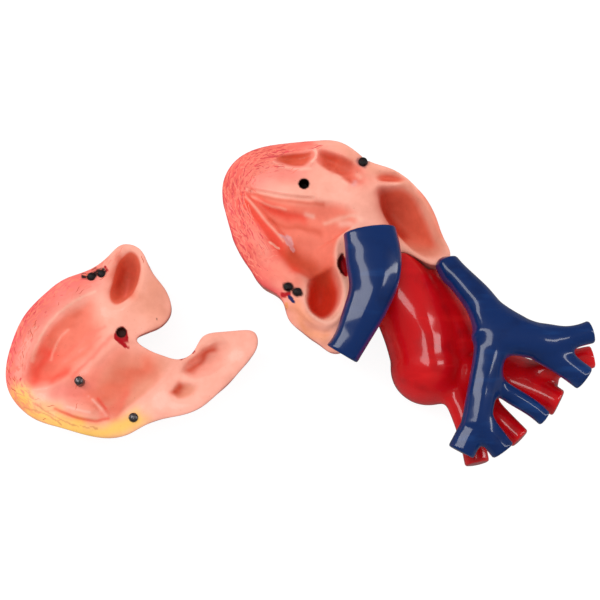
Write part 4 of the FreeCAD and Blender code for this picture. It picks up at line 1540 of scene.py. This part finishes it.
@dataclass(frozen=True)
class StrokeFinish:
    """The paint of single brush strokes, between two tones.

    Attributes:
        name: The material's name.
        light: The lighter strokes' paint.
        dark: The darker strokes' paint.
        balance: The share of lighter strokes.
        worn: The light and dark clouds on them.
        grain: Their small relief.
        roughness: Their roughness.
        specular: Their specular level.
    """

    name: str
    light: Paint
    dark: Paint
    balance: float
    worn: Clouds = Clouds(500.0, 2.0, (0.35, 0.65), (0.85, 1.08))
    grain: Grain = Grain(1500.0, 1.0, 0.00002)
    roughness: float = 0.42
    specular: float = 0.15

    def material(self) -> bpy.types.Material:
        """Build the material."""
        sheet = NodeSheet(self.name)
        tone = sheet.attribute("tone")["Fac"]
        pick = sheet.math("GREATER_THAN", tone, self.balance)
        colour = sheet.mix(pick, linear(self.light), linear(self.dark))
        worn = sheet.clouds(self.worn)
        colour = sheet.mix(1.0, colour, sheet.vector(worn, worn, worn), "MULTIPLY")
        normal = sheet.relief(self.grain)
        return sheet.finish(Base_Color=colour, Roughness=self.roughness, Normal=normal,
                            Specular_IOR_Level=self.specular)


def paint_back(piece: bpy.types.Object, back: Casting) -> None:
    """Lay the back half's paint, with painted highlights on its crests and lumps and painted shade under its
    ridges and on its hollows' upper walls.
    """
    broad = (
        Patch(((-24, 60), (-14, 64), (-2, 66)), 7.0, Paint.PINK, 0.6),
        Patch(((-34, 62), (-29, 52), (-22, 42), (-15, 32), (-10, 22)), 6.0, Paint.ROSE, 0.9),
        Patch(((-30, 68), (-14, 76), (4, 80)), 5.0, Paint.ROSE, 0.85),
        Patch(((22, 78), (34, 69)), 4.0, Paint.SAND, 0.5),
        Patch(((12, 72.5), (21, 68.5), (30.5, 62)), 5.0, Paint.CORAL, 0.5),
        Patch(((36, 66), (52, 62), (64, 46), (72, 28)), 3.0, Paint.SAND, 0.6),
        Patch(((-25, 20), (-17, 8)), 4.5, Paint.PINK, 0.75),
        Patch(((-14, 14), (-3, 7)), 5.0, Paint.SALMON, 0.65),
        Patch(((4, -13), (13, -12), (20, -8)), 2.5, Paint.SAND, 0.6),
        Patch(((-2, -4), (4, -15), (12, -20)), 3.0, Paint.OCHRE, 0.5),
    )
    fine = (
        Patch(((-34, 32), (-31.6, 25), (-27, 17), (-21.6, 9.6), (-16, 5), (-10, 2)), 2.4, Paint.BERRY, 0.8),
        Patch(((74.4, 32), (75.8, 27.4)), 0.7, Paint.MAROON, 0.8, True),
        Patch(((-27, 50.5), (-24, 44.6), (-18.1, 38.5), (-13, 32), (-8.8, 25.1), (-4.8, 20), (-1.6, 15)),
              4.0, Paint.CORAL, 0.95),
        Patch(((-21, 51.1), (-12.2, 46), (-5.5, 43.6), (2.1, 42)), 2.6, Paint.CORAL, 0.8),
        # Painted shadow: dark lines under the ventricle's upper edge and under a ridge across its bowl.
        Patch(((-14.7, 40.5), (-8.8, 38.7), (0.4, 37.9), (10, 35.4)), 1.8, Paint.SIENNA, 0.5),
        Patch(((-22.3, 54.2), (-12.2, 51.4), (0.4, 49.7), (12, 48.6)), 1.2, Paint.SIENNA, 0.6),
        # Painted highlights: pale lines along the crests of the ventricle's ridges.
        Patch(((-27, 56), (-20.7, 55.2), (-12.2, 53.4), (-2.1, 52.6), (7, 51.8)), 0.8, Paint.CREAM, 0.6),
        Patch(((-27, 51.8), (-21.4, 45.4), (-16.4, 39.4), (-12.2, 35), (-8, 30)), 0.7, Paint.CREAM, 0.6),
        Patch(((-24, 52.6), (-16.4, 48.8), (-7.2, 46.2)), 0.7, Paint.CREAM, 0.4),
        # Painted shade where the ventricle's floor drops into the left atrium.
        Patch(((-3, 22), (4, 18), (11, 13.5)), 6.4, Paint.SIENNA, 0.9),
        # Painted highlights on the lit right side of the ventricle's bowl.
        Patch(((13, 39.8), (21.4, 41.9), (28.1, 42.4), (31.3, 39.8)), 1.2, Paint.CREAM, 0.6),
        Patch(((21, 39.4), (25.5, 38.4)), 1.8, Paint.PAINTED_HIGHLIGHT, 0.5),
        Patch(((3.4, 44), (7, 43)), 1.1, Paint.PAINTED_HIGHLIGHT, 0.45),
        # Painted reflection: lilac sheen on the wall right of the main ridge.
        Patch(((-5.8, 32.2), (-4.9, 29.4)), 2.0, Paint.PAINTED_SHEEN, 0.85, True),
        Patch(((-9, 33), (-5.6, 31.6)), 0.9, Paint.PAINTED_SHEEN, 0.8, True),
        Patch(((-4.6, 29), (-3.2, 25.8)), 1.0, Paint.PAINTED_SHEEN, 0.8, True),
        Patch(((-14.7, 28.4), (-10.3, 25.8)), 0.7, Paint.CREAM, 0.7, True),
        # Painted highlight along the raised lip round the left atrium.
        Patch(((4.2, 5), (3.4, -1), (5.4, -7.4), (10, -11.6), (15, -12.6), (20, -8.6), (22.8, 0),
              (22.4, 9)), 0.9, Paint.CREAM, 0.8),
        # Painted shade on the upper walls of the infundibulum and the right ventricle.
        Patch(((-7, 72), (-3, 73), (4, 73.6)), 1.6, Paint.SIENNA, 0.6),
        Patch(((12, 74.8), (20, 73.2), (26, 70.6)), 1.4, Paint.SIENNA, 0.55),
        # Painted highlights along the ridges that bound the infundibulum.
        Patch(((7.8, 77.6), (8.6, 74.6), (8, 72.2), (6.2, 70)), 0.7, Paint.CREAM, 0.7),
        Patch(((-14, 70.8), (-8.7, 68), (-1, 66.4), (5.5, 67)), 0.7, Paint.CREAM, 0.6),
        # Painted highlights on the right ventricle's lumps, and painted shade in the dips between them.
        Patch(((29.9, 64.5), (31, 62.8)), 1.3, Paint.CREAM, 0.6),
        Patch(((28.4, 60.5), (27.6, 58.8)), 1.4, Paint.PAINTED_SHEEN, 0.5),
        Patch(((18.4, 64), (21, 62.6)), 1.0, Paint.CREAM, 0.6),
        Patch(((22, 60.2), (24, 58.8)), 0.9, Paint.CREAM, 0.5),
        Patch(((25.2, 62.6), (26.4, 60.2)), 1.1, Paint.SIENNA, 0.5),
        Patch(((12.6, 69.2), (15.4, 67.4)), 1.1, Paint.SIENNA, 0.6),
        # Painted shade on the right atrium's steep left wall.
        Patch(((42.6, 54), (43.4, 49), (47, 42), (51.5, 36)), 5.0, Paint.BRICK_SHADE, 0.8),
        Patch(((63, 54), (69, 43), (72, 33)), 2.2, Paint.TERRA, 0.6),
        Patch(((57, 27.5), (62, 25), (69, 24)), 4.2, Paint.SAND, 0.6),
        # Painted shade: a dark centre that makes the shallow slot look like a deep opening.
        Patch(((21.5, 22), (20, 17), (21.6, 12.6)), 0.9, Paint.MAROON, 0.9, True),
        Patch(((-8.2, 1.4), (-5.2, 1.8)), 1.1, Paint.SCARLET, 1.0, True),
        Patch(((-4.6, 0.2), (-3.2, -1.6)), 0.9, Paint.NAVY, 1.0, True),
        Patch(((-5.8, 5.6), (-5.2, 5.4)), 2.5, Paint.INK, 0.95, True),
        Patch(((-1.2, 3), (-0.6, 2.6)), 2.4, Paint.INK, 0.95, True),
        Patch(((31.6, 70.8), (32.8, 70.2)), 2.6, Paint.PLUM, 0.6, True),
        Patch(((-6.4, -3.2), (-6.2, -7), (-3.4, -11.4), (0.6, -16)), 0.9, Paint.OCHRE, 0.8, True),
        Patch(((-6.6, -5), (-5.8, -8.2), (-4.4, -10.6)), 0.4, Paint.MAROON, 0.9, True),
        Patch(((3.4, -18.8), (8.6, -22.8)), 0.35, Paint.MAROON, 0.9, True),
    )
    CastingPaint(
        casting=back, rim=Paint.ROSE, rim_width=10.0,
        muscle=(Swell((-36, 45), (30, 52), 1.4),), broad=broad, fine=fine, band=20.0,
        fibres=(Swell((-38, 48), (20, 30), 1.4, 10), Swell((-24, 72), (24, 12), 1.3, 20),
                Swell((-26, 22), (10, 16), 1.0, -30))).apply(piece)


def paint_cover(piece: bpy.types.Object, cover: Casting) -> None:
    """Lay the cover's paint, with painted highlights on its crests and rim and painted shade in its grooves
    and on its hollows' upper-left walls.
    """
    broad = (
        Patch(((-144, -36), (-138, -14), (-124, 4), (-108, 14)), 9.0, Paint.PINK, 0.95),
        Patch(((-112, -42), (-100, -38), (-90, -30)), 8.0, Paint.SALMON, 0.8),
        Patch(((-120, -46), (-106, -46)), 5.0, Paint.PINK, 0.5),
        Patch(((-140, -47), (-134, -54), (-124, -60), (-112, -64)), 5.6, Paint.FAT, 1.0),
        Patch(((-116, -65), (-104, -66.4), (-92, -65), (-80, -59)), 4.6, Paint.FAT, 1.0),
        Patch(((-80, 2), (-72, -6), (-74, 8)), 8.0, Paint.SAND, 0.7),
        Patch(((-113, -55), (-98, -55)), 4.0, Paint.SALMON, 0.35),
        Patch(((-98, -9), (-92, -5)), 6.0, Paint.SAND, 0.35),
        Patch(((-139.5, -36), (-137, -24), (-133, -14)), 2.6, Paint.PEACH, 0.55),
    )
    fine = (
        Patch(((-101, -48), (-93, -43), (-84, -37), (-77, -33)), 7.0, Paint.TERRA, 0.85),
        Patch(((-132, -40), (-130.6, -33), (-127, -26)), 4.2, Paint.CORAL, 0.8),
        Patch(((-124, -39), (-117, -35)), 3.0, Paint.CORAL, 0.7),
        # Painted shade on the ventricle's upper-left wall, under its rim.
        Patch(((-112.5, -5), (-120, -11.5), (-126, -20)), 2.2, Paint.TERRA, 0.5),
        Patch(((-94.4, -17.8), (-97.8, -21.8), (-101.7, -25.9), (-105.6, -29.9), (-109.4, -34),
              (-112.8, -38.5)), 1.4, Paint.CORAL, 0.45),
        Patch(((-98.1, -12.6), (-107, -17.7), (-114.8, -23.3), (-119.6, -29.9)), 1.0, Paint.BLUSH, 0.6),
        Patch(((-99.9, -17.7), (-107.8, -23.3), (-115.6, -28.9)), 0.7, Paint.BLUSH, 0.6),
        # Painted highlights: pale lines along a ridge's crest and along the ventricle's rim.
        Patch(((-117, -13.2), (-119.6, -15.6), (-122, -18.7), (-124.3, -23.8), (-125.8, -28.4)), 0.6,
              Paint.CREAM, 0.4),
        Patch(((-103.4, 5.4), (-110.6, 1.8), (-117.5, -2.8), (-123.4, -8.4), (-127.7, -14), (-131.4, -22),
              (-134.1, -30)), 0.7, Paint.CREAM, 0.7),
        # Painted shade in the groove under the lobe, painted highlights on the lobe's ridge and on the next
        # groove's left bank, and painted shade in that groove.
        Patch(((-121.2, -54.4), (-115.6, -56.8), (-108.6, -59.3), (-100.7, -60.5), (-94.8, -59)),
              0.8, Paint.CORAL, 0.65),
        Patch(((-115, -53.6), (-110, -55), (-104, -56.2)), 0.7, Paint.PAINTED_HIGHLIGHT, 0.4),
        Patch(((-103, -49.6), (-98.6, -54), (-96, -57.4)), 0.7, Paint.PAINTED_HIGHLIGHT, 0.4),
        Patch(((-100.4, -49), (-96.4, -54)), 0.8, Paint.CORAL, 0.6),
        Patch(((-96, -58), (-92, -54), (-87, -46)), 3.0, Paint.CORAL, 0.4),
        # Painted shade on the auricle's left wall.
        Patch(((-91.2, 22), (-93, 12), (-93.6, 4)), 3.0, Paint.SIENNA, 0.7),
        Patch(((-84.6, 19), (-84, 11), (-84.6, 4)), 2.6, Paint.TERRA, 0.8),
        Patch(((-88, 14), (-88.6, 4)), 1.0, Paint.BLUSH, 0.5),
        # Painted shade on the upper-left walls of the atrial appendage and the atrium.
        Patch(((-55.4, -34), (-50, -28.6), (-43.6, -24)), 2.6, Paint.SIENNA, 0.85),
        Patch(((-61.6, -46.6), (-59.6, -43.4)), 2.2, Paint.SIENNA, 0.85),
        Patch(((-92.3, -17.4), (-90.4, -20), (-87.4, -22.4)), 1.0, Paint.SCARLET, 1.0, True),
        Patch(((-59.6, -29.1), (-56.4, -27.4), (-53.2, -24.6)), 0.55, Paint.SCARLET, 1.0, True),
        Patch(((-71.5, -9.5),), 0.5, Paint.INK, 0.9, True),
        Patch(((-108.8, 13.4), (-104.8, 13.2)), 1.8, Paint.INK, 0.95, True),
        Patch(((-103, 15.6), (-99.8, 15.4)), 2.1, Paint.INK, 0.95, True),
        Patch(((-98, 17.6), (-97.4, 15.6)), 0.6, Paint.SCARLET, 1.0, True),
        Patch(((-101, 12.6),), 0.45, Paint.SCARLET, 0.8, True),
        Patch(((-136, -54), (-126, -57), (-118, -62)), 0.35, Paint.TAN, 0.6, True),
        Patch(((-131, -52), (-124, -56.6), (-112, -62.4), (-100, -64)), 0.35, Paint.TAN, 0.6, True),
    )
    CastingPaint(
        casting=cover, rim=Paint.HOT_PINK, rim_width=3.2,
        muscle=(Swell((-140, -10), (22, 34), 1.1),), broad=broad, fine=fine, band=12.0,
        fibres=(Swell((-142, -14), (20, 38), 1.5), Swell((-116, 12), (20, 8), 1.2, 30))).apply(piece)


def build_castings() -> None:
    """Build and paint both castings, and lay the raised strokes of their fibres.

    Each row of the plan gives the casting and its paint, and then the strokes' name, how many lie
    on a square metre, their length, width and height, their seed and both finishes.
    """
    recipe = stroke_recipe()
    plan = ((back_casting, paint_back, "back_fibre_strokes", 0.2e6, (5.6, 0.8, 0.11), 3,
             FleshFinish("flesh_with_swirled_fibres", Paint.BERRY, Paint.BLUSH, (6.0, 1.1), (0.1, 0.12)),
             StrokeFinish("swirled_strokes", Paint.BLUSH, Paint.BERRY, 0.72)),
            (cover_casting, paint_cover, "cover_fibre_strokes", 0.1e6, (3.4, 0.4, 0.1), 9,
             FleshFinish("flesh_with_dashed_fibres", Paint.BERRY, Paint.BLUSH, (5.0, 1.3), (0.03, 0.14)),
             StrokeFinish("dashed_strokes", Paint.BLUSH, Paint.SIENNA, 0.62)))
    for make, dress, name, density, leaf, seed, flesh, stroke in plan:
        casting = make()
        piece = casting.sculpt()
        dress(piece, casting)
        length, width, height = (value * METRES for value in leaf)
        strokes = recipe.bake(piece, name, {
            "Density": density, "Length": length, "Width": width, "Height": height, "Seed": seed,
            "Material": bpy.data.materials.new("unpainted")})
        settle(piece, casting.body, flesh.material(), [casting.node])
        settle(strokes, casting.body, stroke.material())


# ---------------------------------------------------------------- the great vessels


@dataclass(frozen=True)
class Rod:
    """A straight round bar that a moulding flows into.

    Attributes:
        start: The middle of its first end.
        end: The middle of its last end.
        radius: Its radius.
    """

    start: Triple
    end: Triple
    radius: float

    def distance(self, x: Array, y: Array, z: Array) -> Array:
        """The signed distance to its surface at each place."""
        step = np.subtract(self.end, self.start)
        gaps = [axis - first for axis, first in zip((x, y, z), self.start)]
        share = np.clip(sum(gap * part for gap, part in zip(gaps, step)) / np.dot(step, step), 0, 1)
        squares = sum((gap - share * part) ** 2 for gap, part in zip(gaps, step))
        return np.sqrt(squares) - self.radius


@dataclass(frozen=True)
class Vessels:
    """Vessels that are one smooth moulding: the frame's solids with rounded forks.

    Attributes:
        name: The piece's name.
        nodes: The CAD nodes that it joins and stands for.
        slot: Its material slot; not used.
        fork: The radius of the fillets at its forks.
        voxel: The distance between samples.
        softening: The blur that rounds its cut ends.
        swelling: How far its surface stands out to make up for that blur.
        fillet: The blur that fills its creases.
        smoothing: The blur that smooths its forks.
        regain: How far a smoothed fork's surface stands out to make up for that blur.
        rods: Bars that it flows into, at roots and webs.
        rod_fillet: The radius of the fillets at those bars.
        forks: Where its creases are smoothed away: x, y and reach.
        band: How far from its surface the frame's solids still shape it.
        crease: How far the filling of its creases lies inside their blur, and its rounding.
        lumps: The unevenness of its surface.
        crown: The radius of the rounding under its highest level.
    """

    name: str
    nodes: tuple[str, ...]
    slot: Slot
    fork: float = 6.0
    voxel: float = 0.6
    softening: float = 0.55
    swelling: float = 0.1
    fillet: float = 4.0
    smoothing: float = 4.0
    regain: float = 0.7
    rods: tuple[Rod, ...] = ()
    rod_fillet: float = 3.0
    forks: tuple[Triple, ...] = ()
    band: float = 8.0
    crease: Point = (0.1, 0.8)
    lumps: Sway = Sway(0.05, 13.0, 3)
    crown: float = 2.0

    def build(self, material: bpy.types.Material) -> bpy.types.Object:
        """Make the moulding and put it on the back half."""
        meshes = [node_triangles(node) for node in self.nodes]
        low = np.min([points.min(axis=0) for points, _ in meshes], axis=0)
        high = np.max([points.max(axis=0) for points, _ in meshes], axis=0)
        form = VoxelField(low, high, self.voxel)
        values = None
        for points, triangles in meshes:
            single = form.distance_to(points, triangles, self.band)
            values = single if values is None else smooth_min(values, single, self.fork)
        for rod in self.rods:
            values = smooth_min(values, rod.distance(*form.axes), self.rod_fillet)
        filled = blurred(values.astype(np.float32), self.fillet / self.voxel)
        inset, radius = self.crease
        values = smooth_min(values, filled + inset, radius)
        x, y, z = form.axes
        smooth = blurred(values.astype(np.float32), self.smoothing / self.voxel) - self.regain
        for middle_x, middle_y, reach in self.forks:
            share = np.exp(-((x - middle_x) ** 2 + (y - middle_y) ** 2) / reach ** 2)
            values = values * (1 - share) + smooth * share
        lumps = self.lumps.at(x, y, z)
        values = blurred((values - lumps - self.swelling).astype(np.float32),
                         self.softening / self.voxel)
        values = smooth_max(values, z - high[2] + CLEARANCE, self.crown)
        form.values = np.maximum(values, CLEARANCE - z).astype(np.float32)
        piece = form.to_piece(self.name)
        return settle(piece, Body.BACK, material, self.nodes)


def build_vessels() -> None:
    """Build the two trees of great vessels, the trunk and the stubs of the underside."""
    blue = EnamelFinish("navy_enamel", (6, 40, 94), (16, 58, 116), (4, 24, 68)).material()
    red = EnamelFinish("scarlet_enamel", (204, 5, 14), (222, 22, 24), (140, 2, 10)).material()
    Vessels("pulmonary_trunk_moulding", ("pulmonary_trunk",), Slot.BLUE).build(blue)
    Vessels("caval_vein_moulding", ("superior_vena_cava", "left_brachiocephalic_vein",
                                    "inferior_thyroid_vein"), Slot.BLUE,
            regain=0.2, rods=(Rod((73.6, 16.4, 35.3), (76.0, 12.0, 36.5), 5.0),),
            forks=((97, -13, 17), (128, -23, 9), (110, -20, 12), (89.5, -65, 7), (96, -46, 6))).build(blue)
    Vessels("aortic_arch_moulding", ("aorta", "brachiocephalic_artery", "right_subclavian_artery",
                                     "left_carotid_artery", "left_subclavian_artery"),
            Slot.RED, fork=4.0, fillet=1.6, smoothing=3.0, regain=0.5,
            rods=(Rod((100.0, -31.5, 22.0), (122.0, -39.5, 22.5), 8.0),),
            forks=((64, -30, 14), (76, -22, 12), (70, -4, 10), (73, -45, 7), (96, -40, 8))).build(red)
    Vessels("inferior_vena_cava_stub", ("inferior_vena_cava",), Slot.BLUE).build(blue)
    Vessels("pulmonary_vein_stubs", ("pulmonary_veins",), Slot.RED, fork=1.0).build(red)


# ---------------------------------------------------------------- pin and magnets


@dataclass(frozen=True)
class MetalDisc:
    """A worn round head: a magnet's face or the pin's end.

    Attributes:
        name: The piece's name.
        centre: Its axis.
        radius: Its radius.
        bottom: The height of its lower end.
        top: The height of its crown.
        crown: How far its middle stands above its shoulder.
        seed: The random seed for its dents.
        sides: How many sides it is turned with.
        chamfer: How far below its shoulder its straight wall ends.
        dent: How deep the dents in its crown are.
        notch: How deep the notches in its rim are, as a share of its radius.
        wear: The typical distance between dents.
    """

    name: str
    centre: Point
    radius: float
    bottom: float
    top: float
    crown: float
    seed: int
    sides: int = 40
    chamfer: float = 0.25
    dent: float = 0.12
    notch: float = 0.03
    wear: float = 2.2

    def mesh(self) -> tuple[Array, list[tuple[int, ...]]]:
        """Points and faces of the turned and battered form."""
        sides = self.sides
        shoulder = self.top - self.crown
        profile = [(1.0, self.bottom), (1.0, (self.bottom + shoulder) / 2), (1.0, shoulder - self.chamfer),
                   (0.97, shoulder), (0.9, shoulder + 0.25 * self.crown),
                   (0.75, shoulder + 0.6 * self.crown), (0.5, shoulder + 0.85 * self.crown),
                   (0.25, self.top - 0.03 * self.crown)]
        angles = np.linspace(0, 2 * math.pi, sides, endpoint=False)
        rings = []
        for share, height in profile:
            ring = np.column_stack([share * self.radius * np.cos(angles),
                                    share * self.radius * np.sin(angles), np.full(sides, height)])
            rings.append(ring)
        points = np.vstack(rings + [[[0, 0, self.top]], [[0, 0, self.bottom]]])
        wear = np.clip(waves(points[:, 0], points[:, 1], points[:, 2], self.wear, self.seed), 0, 2)
        outward = np.hypot(points[:, 0], points[:, 1]) / self.radius
        points[:, :2] *= (1 - self.notch * wear * outward)[:, None]
        raised = fade(points[:, 2], shoulder - 0.3, shoulder)
        points[:, 2] -= self.dent * wear * raised
        points[:, :2] += self.centre
        faces: list[tuple[int, ...]] = []
        for ring in range(len(profile) - 1):
            for side in range(sides):
                first, second = ring * sides + side, ring * sides + (side + 1) % sides
                faces.append((first, second, second + sides, first + sides))
        last, crown, foot = (len(profile) - 1) * sides, len(points) - 2, len(points) - 1
        for side in range(sides):
            after = (side + 1) % sides
            faces.append((last + side, last + after, crown))
            faces.append((after, side, foot))
        return points, faces


def islands(node: str) -> list[tuple[Array, Array]]:
    """The corners of each separate solid of a CAD node, from left to right."""
    least_gap = 0.4
    points, _ = node_triangles(node)
    order = np.argsort(points[:, 0])
    gaps = np.where(np.diff(points[order, 0]) > least_gap)[0] + 1
    groups = np.split(points[order], gaps)
    return [(group.min(axis=0), group.max(axis=0)) for group in groups]


def build_metal() -> None:
    """Build the locating pin and the magnets' worn faces.

    Each row of the plan gives the node, its body, slot and finish, the height of its crown, how far
    it stands above its solid, and its seed.
    """
    seeds_apart = 10
    steel = MetalFinish("worn_steel", (128, 122, 124), (40, 32, 34), 0.5).material()
    dark = MetalFinish("dark_magnet", (64, 44, 46), (22, 12, 14), 0.8).material()
    plan = (("locating_pin", Body.COVER, Slot.STEEL, steel, 0.9, 0.0, 4),
            ("front_margin_magnet", Body.COVER, Slot.MAGNET, steel, 0.9, 0.9, 5),
            ("front_side_magnets", Body.COVER, Slot.MAGNET, dark, 0.8, 0.8, 6),
            ("back_margin_magnet", Body.BACK, Slot.MAGNET, dark, 0.8, 0.8, 7),
            ("back_side_magnets", Body.BACK, Slot.MAGNET, dark, 0.6, 0.5, 8))
    for node, body, slot, material, crown, proud, seed in plan:
        all_points: list[Array] = []
        all_faces: list[tuple[int, ...]] = []
        for number, (low, high) in enumerate(islands(node)):
            centre = tuple((low[:2] + high[:2]) / 2)
            disc = MetalDisc(node, centre, (high[0] - low[0]) / 2, low[2], high[2] + proud, crown,
                             seed * seeds_apart + number)
            points, faces = disc.mesh()
            offset = sum(len(item) for item in all_points)
            all_points.append(points)
            all_faces += [tuple(index + offset for index in face) for face in faces]
        piece = new_piece(node + "_head", np.vstack(all_points), all_faces)
        settle(piece, body, material, [node])


# ---------------------------------------------------------------- the whole


def main() -> None:
    logging.basicConfig(level=logging.INFO, format="%(name)s %(message)s")
    build_castings()
    build_vessels()
    build_metal()
    Studio().build()


if __name__ == "__main__":
    main()
